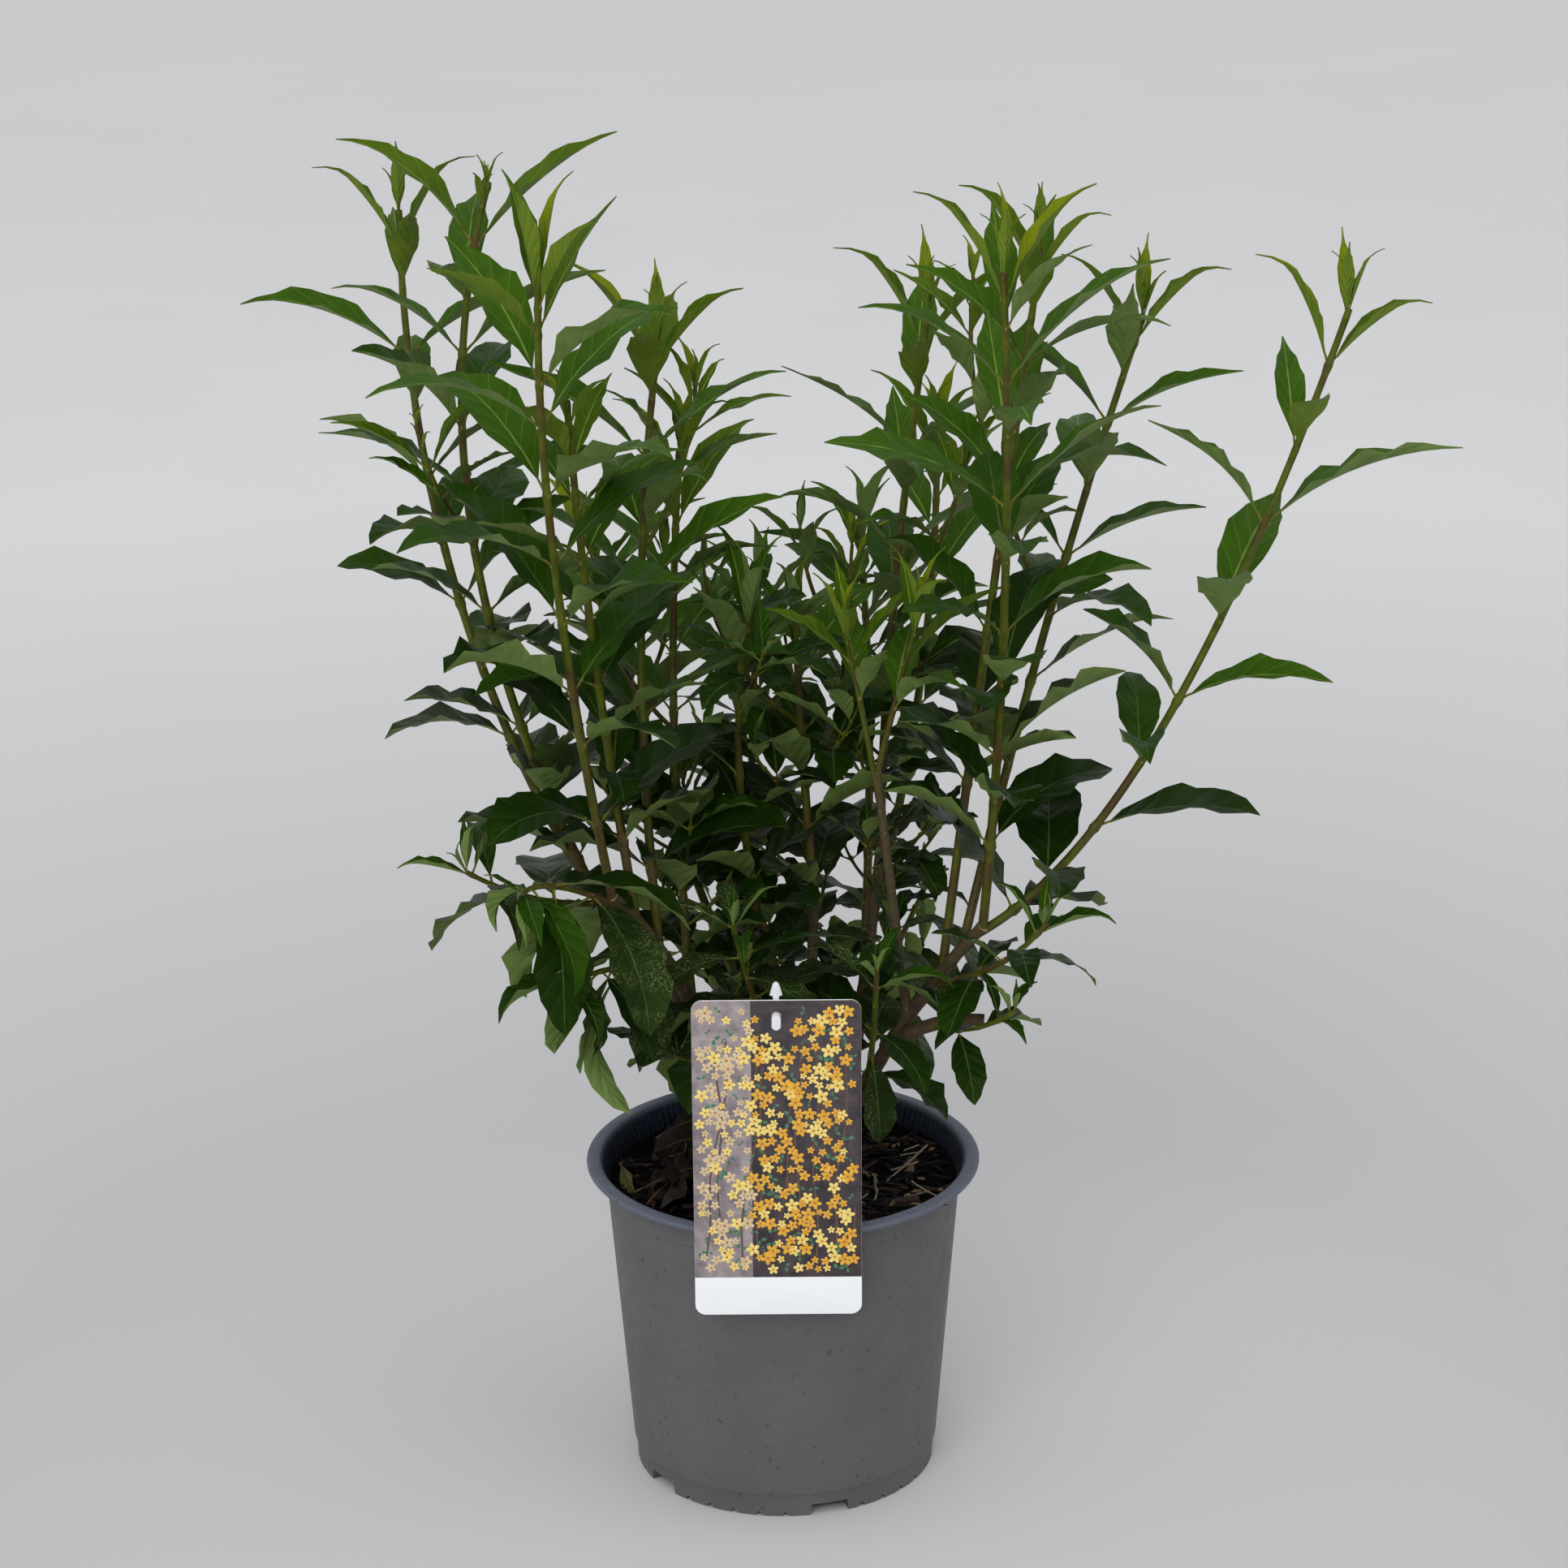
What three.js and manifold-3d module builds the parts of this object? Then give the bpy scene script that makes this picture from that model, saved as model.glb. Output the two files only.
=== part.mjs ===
// A young forsythia shrub in the nursery pot it is grown and sold in. Woody boughs rise from the
// potting mix, and long leafy canes of this year's wood grow on from them. Leaves stand in pairs,
// each pair crosswise to the one above. Lengths are in millimetres, +Z is up, and the origin is the
// middle of the pot's flat underside.
import * as THREE from "three";
import { mergeVertices } from "three/addons/utils/BufferGeometryUtils.js";
import Module from "manifold-3d";

const wasm = await Module();
wasm.setup();

const GAP = 0.3; // clearance between pieces that touch

// --- Solids ------------------------------------------------------------------------------------

const WELD = 1e-4; // corners nearer than this are one

function solidOf(geometry) {
  geometry.deleteAttribute("normal");
  geometry.deleteAttribute("uv");
  const merged = mergeVertices(geometry, WELD);
  const corners = merged.index.array;
  const whole = [];
  for (let i = 0; i < corners.length; i += 3) {
    const [a, b, c] = corners.slice(i, i + 3);
    if (a !== b && b !== c && c !== a) whole.push(a, b, c);
  }
  return new wasm.Manifold(
    new wasm.Mesh({
      numProp: 3,
      vertProperties: merged.attributes.position.array,
      triVerts: Uint32Array.from(whole),
    }),
  );
}

function meshOf(name, solid, material) {
  const { vertProperties, triVerts } = solid.getMesh();
  const geometry = new THREE.BufferGeometry();
  geometry.setAttribute("position", new THREE.BufferAttribute(vertProperties, 3));
  geometry.setIndex(new THREE.BufferAttribute(triVerts, 1));
  geometry.computeVertexNormals();
  const mesh = new THREE.Mesh(geometry, material);
  mesh.name = name;
  return mesh;
}

// Turns a half section, given as radius and height, into a round solid about the pot's axis.
const TURN_STEPS = 40;

function turned(section) {
  const points = section.map(([radius, height]) => new THREE.Vector2(radius, height));
  return solidOf(new THREE.LatheGeometry(points, TURN_STEPS).rotateX(Math.PI / 2));
}

function block(width, depth, height, x, y, z, turn = 0) {
  const box = new THREE.BoxGeometry(width, depth, height).translate(x, y, z);
  return solidOf(box.rotateZ(turn));
}

// --- Pot: thin moulded plastic with a flared lip and a foot ring notched for drainage -------------

const POT_HEIGHT = 158;
const LIP_RADIUS = 95;
const LIP_EDGE = 2.6; // height of the lip's outer edge
const MOUTH_RADIUS = 87.4;
const NECK_HEIGHT = 150; // where the wall meets the lip's flare
const WALL_BOTTOM = 11.7;
const WALL_BOTTOM_RADIUS = 74.4;
const WALL_SLOPE = 0.0815; // the wall leans out this much for each unit of height
const WALL = 1.6;
const FOOT_RADIUS = 72.9;
const FOOT_RING = 9; // width of the ring the pot stands on
const HUB_RADIUS = 40; // flat disc in the middle of the underside
const RECESS = 4; // height of the channel between disc and ring
const FLOOR = 7;
const INNER_STEP = 20; // above this the inside follows the wall
const NOTCHES = 36;
const NOTCH = 3.4;
const NOTCH_HEIGHT = 2.4;
const DRAINS = 5;
const DRAIN_WIDTH = 19;
const DRAIN_HEIGHT = 6;
const DRAIN_TURN = THREE.MathUtils.degToRad(17 - 90); // the first drain, right of the pot's front

const wallRadius = (height) => WALL_BOTTOM_RADIUS + WALL_SLOPE * (height - WALL_BOTTOM);

function makePot() {
  const neck = wallRadius(NECK_HEIGHT);
  const shell = turned([
    [0, 0],
    [HUB_RADIUS, 0],
    [HUB_RADIUS + 2, RECESS],
    [FOOT_RADIUS - FOOT_RING - 2, RECESS],
    [FOOT_RADIUS - FOOT_RING, 0],
    [FOOT_RADIUS, 0],
    [FOOT_RADIUS + 0.4, WALL_BOTTOM],
    [WALL_BOTTOM_RADIUS, WALL_BOTTOM + 0.6],
    [neck, NECK_HEIGHT],
    [neck + 2.5, NECK_HEIGHT + 3.4],
    [LIP_RADIUS - 0.8, POT_HEIGHT - LIP_EDGE],
    [LIP_RADIUS, POT_HEIGHT - 0.5 * LIP_EDGE],
    [LIP_RADIUS - 0.6, POT_HEIGHT],
    [MOUTH_RADIUS, POT_HEIGHT],
    [neck - WALL, NECK_HEIGHT - 2],
    [wallRadius(INNER_STEP) - WALL, INNER_STEP],
    [FOOT_RADIUS - WALL, FLOOR],
    [0, FLOOR],
  ]);
  let cuts = null;
  const cut = (tool) => {
    cuts = cuts ? cuts.add(tool) : tool;
  };
  for (let i = 0; i < DRAINS; i += 1) {
    const turn = DRAIN_TURN + (i * 2 * Math.PI) / DRAINS;
    cut(block(2 * FOOT_RING, DRAIN_WIDTH, 2 * DRAIN_HEIGHT, FOOT_RADIUS, 0, 0, turn));
  }
  const clear = DRAIN_WIDTH / 2 + 2 * NOTCH;
  for (let i = 0; i < NOTCHES; i += 1) {
    const turn = (i * 2 * Math.PI) / NOTCHES;
    const fromDrain = Math.asin(Math.sin(((turn - DRAIN_TURN) * DRAINS) / 2)) / (DRAINS / 2);
    if (Math.abs(fromDrain) * FOOT_RADIUS > clear) {
      cut(block(2 * FOOT_RING, NOTCH, 2 * NOTCH_HEIGHT, FOOT_RADIUS, 0, 0, turn));
    }
  }
  return shell.subtract(cuts);
}

// --- Potting mix: fills the pot to a little below its lip -----------------------------------------

const MIX_TOP = 146.5;

function makeMix() {
  const bottom = FLOOR + GAP;
  return turned([
    [0, bottom],
    [FOOT_RADIUS - WALL - 1.5 * GAP, bottom],
    [wallRadius(MIX_TOP) - WALL - 1.5 * GAP, MIX_TOP],
    [0, MIX_TOP],
  ]);
}

// All that lies below the mix's surface, with the clearance above it.
function belowMix() {
  return block(2 * LIP_RADIUS, 2 * LIP_RADIUS, MIX_TOP, 0, 0, MIX_TOP / 2 + GAP);
}

// --- Label: a plain picture card that hangs outside the lip on a peg of its white stake --------------

const LABEL_WIDTH = 77.5;
const LABEL_HEIGHT = 157;
const LABEL_CORNER = 5;
const LABEL_THICKNESS = 0.8;
const LABEL_X = -2.5;
const LABEL_FOOT = 118;
const LABEL_BACK = -(LIP_RADIUS + GAP); // y of the card's back
const PEG_BELOW_TOP = 10;
const PEG_WIDTH = 4;
const PEG_HEIGHT = 7.5;

// An upright slot shape with round ends.
function ovalShape(width, height, x, y) {
  const round = width / 2;
  const reach = height / 2 - round;
  const oval = new THREE.Shape();
  oval.absarc(x, y + reach, round, 0, Math.PI);
  oval.absarc(x, y - reach, round, Math.PI, 2 * Math.PI);
  return oval;
}

// Stands an outline drawn in x and z upright, with its back at y and its front towards -Y.
function upright(outline, thickness, y, curveSegments = 4) {
  const plate = new THREE.ExtrudeGeometry(outline, {
    depth: thickness,
    bevelEnabled: false,
    curveSegments,
  });
  return solidOf(plate.rotateX(Math.PI / 2).translate(0, y, 0));
}

function makeLabel() {
  const [left, right] = [LABEL_X - LABEL_WIDTH / 2, LABEL_X + LABEL_WIDTH / 2];
  const [low, high] = [LABEL_FOOT, LABEL_FOOT + LABEL_HEIGHT];
  const r = LABEL_CORNER;
  const card = new THREE.Shape();
  card.absarc(right - r, low + r, r, -Math.PI / 2, 0);
  card.absarc(right - r, high - r, r, 0, Math.PI / 2);
  card.absarc(left + r, high - r, r, Math.PI / 2, Math.PI);
  card.absarc(left + r, low + r, r, Math.PI, 1.5 * Math.PI);
  const pegZ = high - PEG_BELOW_TOP;
  card.holes.push(ovalShape(PEG_WIDTH + 4 * GAP, PEG_HEIGHT + 4 * GAP, LABEL_X, pegZ));
  return upright(card, LABEL_THICKNESS, LABEL_BACK);
}

const STAKE_WIDTH = 4.6;
const STAKE_THICKNESS = 1.6;
const STAKE_TOP = 284;
const STAKE_FOOT_Y = -78;
const STAKE_HEAD = 8; // length of its arrow-shaped head
const HEAD_HALF = 2.9; // half width of the head at its barbs
const NECK_HALF = 1.4; // half width of the head's point and of the neck under it
const NECK_LENGTH = 3;
const STAKE_BURIED = 12; // depth to which the outline is drawn; the mix's top cuts it off

function makeStake() {
  const half = STAKE_WIDTH / 2;
  const [foot, neck] = [MIX_TOP - STAKE_BURIED, STAKE_TOP - STAKE_HEAD];
  const side = [
    [half, foot],
    [half, neck - NECK_LENGTH - 1],
    [NECK_HALF, neck - NECK_LENGTH],
    [NECK_HALF, neck + 1],
    [HEAD_HALF, neck + 1.6],
    [NECK_HALF, STAKE_TOP - 1],
  ];
  const outline = new THREE.Shape();
  outline.moveTo(LABEL_X - half, foot);
  for (const [x, z] of side) outline.lineTo(LABEL_X + x, z);
  outline.quadraticCurveTo(LABEL_X, STAKE_TOP + 1, LABEL_X - NECK_HALF, STAKE_TOP - 1);
  for (const [x, z] of side.slice(1, -1).reverse()) outline.lineTo(LABEL_X - x, z);
  // The stake leans from inside the lip at its foot to the card's back at its top.
  const topY = LABEL_BACK + GAP + STAKE_THICKNESS;
  const lean = Math.atan2(topY - STAKE_FOOT_Y, STAKE_TOP - foot);
  const strip = new THREE.ExtrudeGeometry(outline, {
    depth: STAKE_THICKNESS,
    bevelEnabled: false,
    curveSegments: 3,
  });
  strip.rotateX(Math.PI / 2).translate(0, 0, -foot).rotateX(-lean);
  strip.translate(0, STAKE_FOOT_Y, foot);
  const pegZ = LABEL_FOOT + LABEL_HEIGHT - PEG_BELOW_TOP;
  const pegReach = STAKE_THICKNESS + LABEL_THICKNESS + 3;
  const peg = upright(ovalShape(PEG_WIDTH, PEG_HEIGHT, LABEL_X, pegZ), pegReach, LABEL_BACK + 2);
  return solidOf(strip).add(peg).subtract(belowMix());
}

// --- Stems: every one follows a curve through its foot, its knee halfway and its tip -----------------

// Boughs: brown wood from a little below the mix's surface, or from a place along another bough.
const BOUGH_FOOT = 135;
const BOUGHS = [
  { name: "left_bough", foot: [-12, 0, BOUGH_FOOT], knee: [-42, -17, 240], tip: [-78, -45, 307],
    radii: [4.4, 2.7] },
  { name: "right_bough", foot: [14, 0, BOUGH_FOOT], knee: [50, -17, 219], tip: [94, -40, 289],
    radii: [5, 3] },
  { name: "left_back_bough", from: "left_bough", at: 0.45, knee: [-68, 2, 264], tip: [-101, 15, 308],
    radii: [3.2, 2.3] },
  { name: "middle_bough", foot: [3, 16, BOUGH_FOOT], knee: [12, 19, 210], tip: [16, 15, 282],
    radii: [3.6, 2.2] },
  { name: "right_back_bough", foot: [25, 22, BOUGH_FOOT], knee: [38, 34, 215], tip: [48, 38, 299],
    radii: [3.8, 2.4] },
  { name: "back_bough", foot: [-6, 40, BOUGH_FOOT], knee: [-8, 56, 195], tip: [-14, 84, 250],
    radii: [3.6, 2.2] },
  { name: "forked_bough", from: "right_bough", at: 0.62, knee: [52, -27, 300], tip: [45, -30, 362],
    radii: [2.4, 1.9] },
  { name: "cut_stub", from: "right_bough", at: 0.5, knee: [70, -33, 237], tip: [95, -40, 242],
    radii: [3.4, 3] },
];

// Canes and sprays: leafy wood. leaf is the length of a grown leaf, space the usual distance between
// pairs, spin the turn of the topmost pair about the stem, bare the leafless share at the foot, shoots
// the number of side shoots, and bud the size of the leaves at the tip. Leaves of a low spray hang.
const CANES = [
  { name: "left_front_cane", from: "left_bough", at: 1, knee: [-99, -75, 473],
    tip: [-102, -95, 605], leaf: 94, space: 30, spin: 42 },
  { name: "left_outer_cane", from: "left_back_bough", at: 1, knee: [-157, 45, 448],
    tip: [-176, 75, 606], leaf: 74, space: 30, spin: 96 },
  { name: "left_rear_cane", from: "left_back_bough", at: 0.86, knee: [-142, 12, 468],
    tip: [-130, 20, 629], leaf: 82, space: 31, spin: 174, shoots: 1, bud: 0.4 },
  { name: "left_side_cane", from: "left_bough", at: 0.86, knee: [-84, -42, 425],
    tip: [-93, -55, 545], leaf: 68, space: 30, spin: 60, bare: 0.08, bud: 0.7 },
  { name: "left_tall_cane", from: "left_bough", at: 0.72, knee: [-64, 2, 421],
    tip: [-54, 20, 555], leaf: 84, space: 32, spin: 92, bare: 0.06, shoots: 1 },
  { name: "left_inner_cane", from: "left_bough", at: 0.5, knee: [-50, 25, 365],
    tip: [-46, 55, 495], leaf: 76, space: 30, spin: 50, bare: 0.06, shoots: 1 },
  { name: "centre_fork_left", from: "forked_bough", at: 0.8, knee: [37, -34, 398],
    tip: [30, -40, 432], leaf: 62, space: 24, spin: 10, bare: 0.3, radii: [1.5, 1.1] },
  { name: "centre_fork_right", from: "forked_bough", at: 1, knee: [55, -38, 405],
    tip: [64, -48, 445], leaf: 66, space: 24, spin: 20, bare: 0.3, radii: [1.5, 1.1] },
  { name: "centre_upright_cane", from: "middle_bough", at: 1, knee: [11, 22, 353],
    tip: [8, 32, 414], leaf: 74, space: 26, spin: 55, shoots: 2 },
  { name: "centre_left_cane", from: "middle_bough", at: 0.45, knee: [-17, 10, 320],
    tip: [-13, 0, 432], leaf: 80, space: 27, spin: 25, bare: 0.06, shoots: 2 },
  { name: "centre_back_cane", from: "right_back_bough", at: 0.55, knee: [44, 88, 340],
    tip: [40, 128, 430], leaf: 76, space: 29, spin: 35, bare: 0.06, shoots: 1 },
  { name: "right_back_cane", from: "right_back_bough", at: 1, knee: [55, 52, 420],
    tip: [71, 60, 556], leaf: 84, space: 31, spin: 86, shoots: 1 },
  { name: "right_front_cane", from: "right_bough", at: 1, knee: [101, -72, 453],
    tip: [98, -95, 609], leaf: 84, space: 30, spin: 100, bare: 0.08 },
  { name: "right_middle_cane", from: "right_bough", at: 0.8, knee: [98, -18, 440],
    tip: [119, -15, 602], leaf: 78, space: 31, spin: 78, bare: 0.18, shoots: 1 },
  { name: "right_slanting_cane", from: "right_bough", at: 0.9, knee: [127, 24, 420],
    tip: [172, 58, 557], leaf: 80, space: 33, spin: 88, bare: 0.2, shoots: 1 },
  { name: "right_arching_cane", from: "right_bough", at: 0.96, knee: [174, -34, 380],
    tip: [256, -30, 578], leaf: 86, space: 42, spin: 90, bare: 0.1 },
  { name: "back_left_cane", from: "back_bough", at: 0.45, knee: [-60, 92, 320],
    tip: [-92, 138, 425], leaf: 80, space: 29, spin: 30, bare: 0.06, shoots: 1 },
  { name: "back_middle_cane", from: "back_bough", at: 1, knee: [-14, 118, 320],
    tip: [-10, 148, 400], leaf: 78, space: 27, spin: 70, bare: 0.04, shoots: 1 },
  { name: "back_right_cane", from: "right_back_bough", at: 0.8, knee: [70, 92, 375],
    tip: [78, 128, 486], leaf: 78, space: 30, spin: 50, bare: 0.2, shoots: 1 },
  { name: "left_low_spray", from: "left_bough", at: 0.9, knee: [-100, -62, 318],
    tip: [-118, -76, 320], leaf: 76, space: 25, spin: 80, low: 1 },
  { name: "left_hanging_spray", from: "left_bough", at: 0.66, knee: [-76, -56, 276],
    tip: [-98, -74, 276], leaf: 72, space: 23, spin: 10, low: 1 },
  { name: "left_back_spray", from: "left_back_bough", at: 0.75, knee: [-116, 0, 290],
    tip: [-148, -12, 308], leaf: 86, space: 28, spin: 20, low: 0.6 },
  { name: "right_low_spray", from: "right_bough", at: 0.75, knee: [100, -56, 276],
    tip: [122, -66, 300], leaf: 56, space: 21, spin: 80, low: 0.3 },
  { name: "right_hanging_spray", from: "cut_stub", at: 0.5, knee: [90, -54, 244],
    tip: [108, -64, 256], leaf: 48, space: 19, spin: 20, low: 0.35 },
  { name: "centre_low_spray", from: "middle_bough", at: 0.3, knee: [-10, -22, 238],
    tip: [-22, -54, 296], leaf: 64, space: 19, spin: 10, bare: 0.2, low: 0.5 },
  { name: "centre_right_spray", from: "right_bough", at: 0.35, knee: [42, -40, 226],
    tip: [44, -64, 276], leaf: 62, space: 18, spin: 60, bare: 0.2, low: 0.5 },
  { name: "back_low_spray", from: "back_bough", at: 0.5, knee: [-34, 84, 212],
    tip: [-56, 104, 232], leaf: 78, space: 20, spin: 30, bare: 0.15, low: 1 },
  { name: "back_right_spray", from: "right_back_bough", at: 0.45, knee: [60, 66, 246],
    tip: [72, 90, 262], leaf: 68, space: 23, spin: 0, bare: 0.15, low: 1 },
];

const CANE_RADII = [2.4, 1.5];
const SPRAY_RADII = [1.8, 1.3];
const SHOOT_RADII = [1.4, 1];

// A repeatable stream of numbers from 0 to 1.
function seeded(seed) {
  let state = 1000 + 7919 * seed;
  const next = () => {
    state = (state * 48271) % 2147483647;
    return state / 2147483647;
  };
  for (let i = 0; i < 3; i += 1) next();
  return next;
}

const radians = THREE.MathUtils.degToRad;
const vector = (place) => new THREE.Vector3(...place);

// A quadratic curve that passes the knee halfway.
function bow(foot, knee, tip) {
  const bend = knee.clone().multiplyScalar(2).addScaledVector(foot, -0.5).addScaledVector(tip, -0.5);
  return new THREE.QuadraticBezierCurve3(foot, bend, tip);
}

const stems = new Map();
for (const plan of [...BOUGHS, ...CANES]) {
  const foot = plan.foot ? vector(plan.foot) : stems.get(plan.from).curve.getPoint(plan.at);
  const curve = bow(foot, vector(plan.knee), vector(plan.tip));
  const radii = plan.radii ?? (plan.low ? SPRAY_RADII : CANE_RADII);
  stems.set(plan.name, { curve, radii });
}

// --- Leaves: where each one stands, by one rule for every stem ----------------------------------------

// How leaves change from the bud downwards: share of the grown length, angle from the stem, how far
// the blade arches over, and width for its length. The last row serves all older pairs.
const AGES = [
  { grown: 0.5, angle: 11, arch: 8, slim: 0.2 },
  { grown: 0.72, angle: 24, arch: 22, slim: 0.2 },
  { grown: 0.92, angle: 34, arch: 36, slim: 0.21 },
  { grown: 1, angle: 40, arch: 42, slim: 0.22 },
];
const OLDER = { steps: 6, shrink: 0.03, arch: 1.5, slim: 0.027 }; // by how much the next pairs change
const HANGING = { angle: 24, arch: 20, droop: 36, slim: 0.07 }; // what a low spray's leaves add
const UPRIGHT = 0.5; // share of its stem's lean that a leaf makes up
const FIRST_SPACE = 0.4; // the first gap under the bud, as a share of the usual one
const MORE_SPACE = 0.2; // what each further gap adds, up to the usual one
const SPACE_SCATTER = 0.5;
const BUD_LENGTH = 3; // from the topmost pair to the stem's tip
const TURNS = [0, 14, -14, 28, -28]; // turns about the stem that a crowded leaf tries
const ROOM = 9; // distance that counts as clear
const CROWDED = 3.5; // a leaf that finds less room than this is left out
// How much leaves of one age differ: degrees, or shares of the usual size.
const SCATTER = { turn: 16, angle: 14, length: 0.3, arch: 0.6, width: 0.25, young: 24, roll: 56 };
const RIB_STEPS = [0.25, 0.4, 0.55, 0.7, 0.85, 1];
const EDGE_STEPS = [0.4, 0.55, 0.7];

// A blade's midrib is an arc in an upright plane: it leaves at the leaf's pitch and bends over.
function ribPoint(leaf, t) {
  const { root, heading, pitch, arch, length } = leaf;
  const reach = (length / arch) * (Math.sin(pitch) - Math.sin(pitch - arch * t));
  const rise = (length / arch) * (Math.cos(pitch - arch * t) - Math.cos(pitch));
  return new THREE.Vector3(
    root.x + reach * Math.cos(heading),
    root.y + reach * Math.sin(heading),
    root.z + rise,
  );
}

// The directions across a blade and out of its upper face, rolled about the midrib.
function bladeAxes(leaf, t) {
  const pitch = leaf.pitch - leaf.arch * t;
  const [c, s] = [Math.cos(leaf.heading), Math.sin(leaf.heading)];
  const across = new THREE.Vector3(-s, c, 0);
  const face = new THREE.Vector3(-c * Math.sin(pitch), -s * Math.sin(pitch), Math.cos(pitch));
  const roll = leaf.roll * t;
  const side = across.clone().multiplyScalar(Math.cos(roll)).addScaledVector(face, Math.sin(roll));
  face.multiplyScalar(Math.cos(roll)).addScaledVector(across, -Math.sin(roll));
  return [side, face];
}

function leafAt(curve, t, turn, draw) {
  const forward = curve.getTangent(t);
  const right = new THREE.Vector3(1, 0, 0).addScaledVector(forward, -forward.x).normalize();
  const back = new THREE.Vector3().crossVectors(forward, right);
  const outward = right.multiplyScalar(Math.cos(turn)).addScaledVector(back, Math.sin(turn));
  const start = forward.clone().multiplyScalar(Math.cos(draw.angle));
  start.addScaledVector(outward, Math.sin(draw.angle));
  const heading = Math.atan2(outward.y, outward.x);
  const level = start.x * Math.cos(heading) + start.y * Math.sin(heading);
  const leaning = Math.atan2(start.z, level);
  return {
    root: curve.getPoint(t),
    heading,
    pitch: leaning + UPRIGHT * (Math.PI / 2 - draw.angle - leaning) - draw.droop,
    arch: draw.arch,
    length: draw.length,
    width: draw.width,
    roll: draw.roll,
  };
}

function samplesOf(leaf) {
  const samples = RIB_STEPS.map((t) => ribPoint(leaf, t));
  for (const t of EDGE_STEPS) {
    const [side] = bladeAxes(leaf, t);
    const middle = ribPoint(leaf, t);
    samples.push(middle.clone().addScaledVector(side, leaf.width / 2));
    samples.push(middle.addScaledVector(side, -leaf.width / 2));
  }
  return samples;
}

// Leaves keep out of the pot and the mix, and clear of the label's card.
const OFF_POT = 4;
const OFF_CARD = { side: 5, back: 18, top: 12 };

function meetsPot(p) {
  const inPot = Math.hypot(p.x, p.y) < LIP_RADIUS + OFF_POT && p.z < POT_HEIGHT + OFF_POT;
  const beside = Math.abs(p.x - LABEL_X) > LABEL_WIDTH / 2 + OFF_CARD.side;
  const above = p.z > LABEL_FOOT + LABEL_HEIGHT + OFF_CARD.top;
  return inPot || !(beside || above || p.y > LABEL_BACK + OFF_CARD.back);
}

function roomFor(samples, standing) {
  if (samples.some(meetsPot)) return 0;
  let least = Infinity;
  for (const p of samples) {
    for (const q of standing) least = Math.min(least, p.distanceToSquared(q));
  }
  return Math.sqrt(least);
}

// The places along a stem where pairs stand, from the bud down.
function nodesOf(curve, space, bare, random) {
  const length = curve.getLength();
  const places = [];
  let below = BUD_LENGTH;
  for (let i = 0; below < length * (1 - bare); i += 1) {
    places.push(1 - below / length);
    below += space * Math.min(1, FIRST_SPACE + MORE_SPACE * i) * (1 + SPACE_SCATTER * (random() - 0.5));
  }
  return places;
}

function growPairs(curve, plan, size, standing, random) {
  const { leaf: grownLeaf, space, spin, bare = 0.02, bud = 1, low = 0 } = plan;
  const leaves = [];
  nodesOf(curve, space * Math.sqrt(size), bare, random).forEach((t, i) => {
    const age = AGES[Math.min(i, AGES.length - 1)];
    const older = Math.min(OLDER.steps, Math.max(0, i - AGES.length + 1));
    const budding = i < 2 ? bud : 1;
    const slim = age.slim + OLDER.slim * older + HANGING.slim * low;
    const pair = [];
    for (const half of [0, Math.PI]) {
      const vary = (range) => 1 + range * (random() - 0.5);
      const swing = (range) => range * (random() - 0.5);
      const turn = radians(spin + 90 * i + swing(SCATTER.turn)) + half;
      const grown = age.grown * (1 - OLDER.shrink * older);
      const length = grownLeaf * size * budding * grown * vary(SCATTER.length);
      const arch = age.arch + OLDER.arch * older;
      const draw = {
        length,
        angle: radians(age.angle + swing(SCATTER.angle) + HANGING.angle * low),
        arch: radians(arch * vary(SCATTER.arch) + HANGING.arch * low),
        droop: radians(HANGING.droop * low),
        width: length * slim * vary(SCATTER.width),
        roll: radians(swing(i > 1 ? SCATTER.roll : SCATTER.young)),
      };
      let best = null;
      for (const step of i > 1 ? TURNS : [0]) {
        const leaf = leafAt(curve, t, turn + radians(step), draw);
        const samples = samplesOf(leaf);
        const room = i > 1 ? roomFor(samples, standing) : ROOM;
        if (!best || room > best.room) best = { leaf, samples, room };
        if (best.room >= ROOM) break;
      }
      if (best.room >= CROWDED) pair.push(best);
    }
    for (const { leaf, samples } of pair) {
      leaves.push({ ...leaf, age: i });
      standing.push(...samples);
    }
  });
  return leaves;
}

const SHOOT = {
  leaf: 0.62, // size of its leaves
  bare: 0.25,
  lowest: 0.25, // the place of the first along its cane
  spread: 0.4, // the stretch of the cane that bears shoots
  length: 60,
  longer: 50, // the longest are this much longer
  knee: { up: 0.4, out: 0.36 }, // shares of the length, along and away from the cane
  tip: { up: 0.9, out: 0.5 },
};

// A side shoot stands in a leaf's axil in the lower part of its cane and turns up beside it.
function shootFrom(curve, plan, index, random) {
  const at = SHOOT.lowest + (SHOOT.spread * (index + random())) / plan.shoots;
  const turn = 2 * Math.PI * random();
  const length = SHOOT.length + SHOOT.longer * random();
  const forward = curve.getTangent(at);
  const outward = new THREE.Vector3(Math.cos(turn), Math.sin(turn), 0);
  outward.addScaledVector(forward, -outward.dot(forward)).normalize();
  const foot = curve.getPoint(at);
  const reach = ({ up, out }) => {
    const place = foot.clone().addScaledVector(forward, up * length);
    return place.addScaledVector(outward, out * length);
  };
  return bow(foot, reach(SHOOT.knee), reach(SHOOT.tip));
}

const STEM_SAMPLES = 24;
const SHOOT_SAMPLES = 6;

const along = (curve, steps) => curve.getPoints(steps).slice(1);

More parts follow.
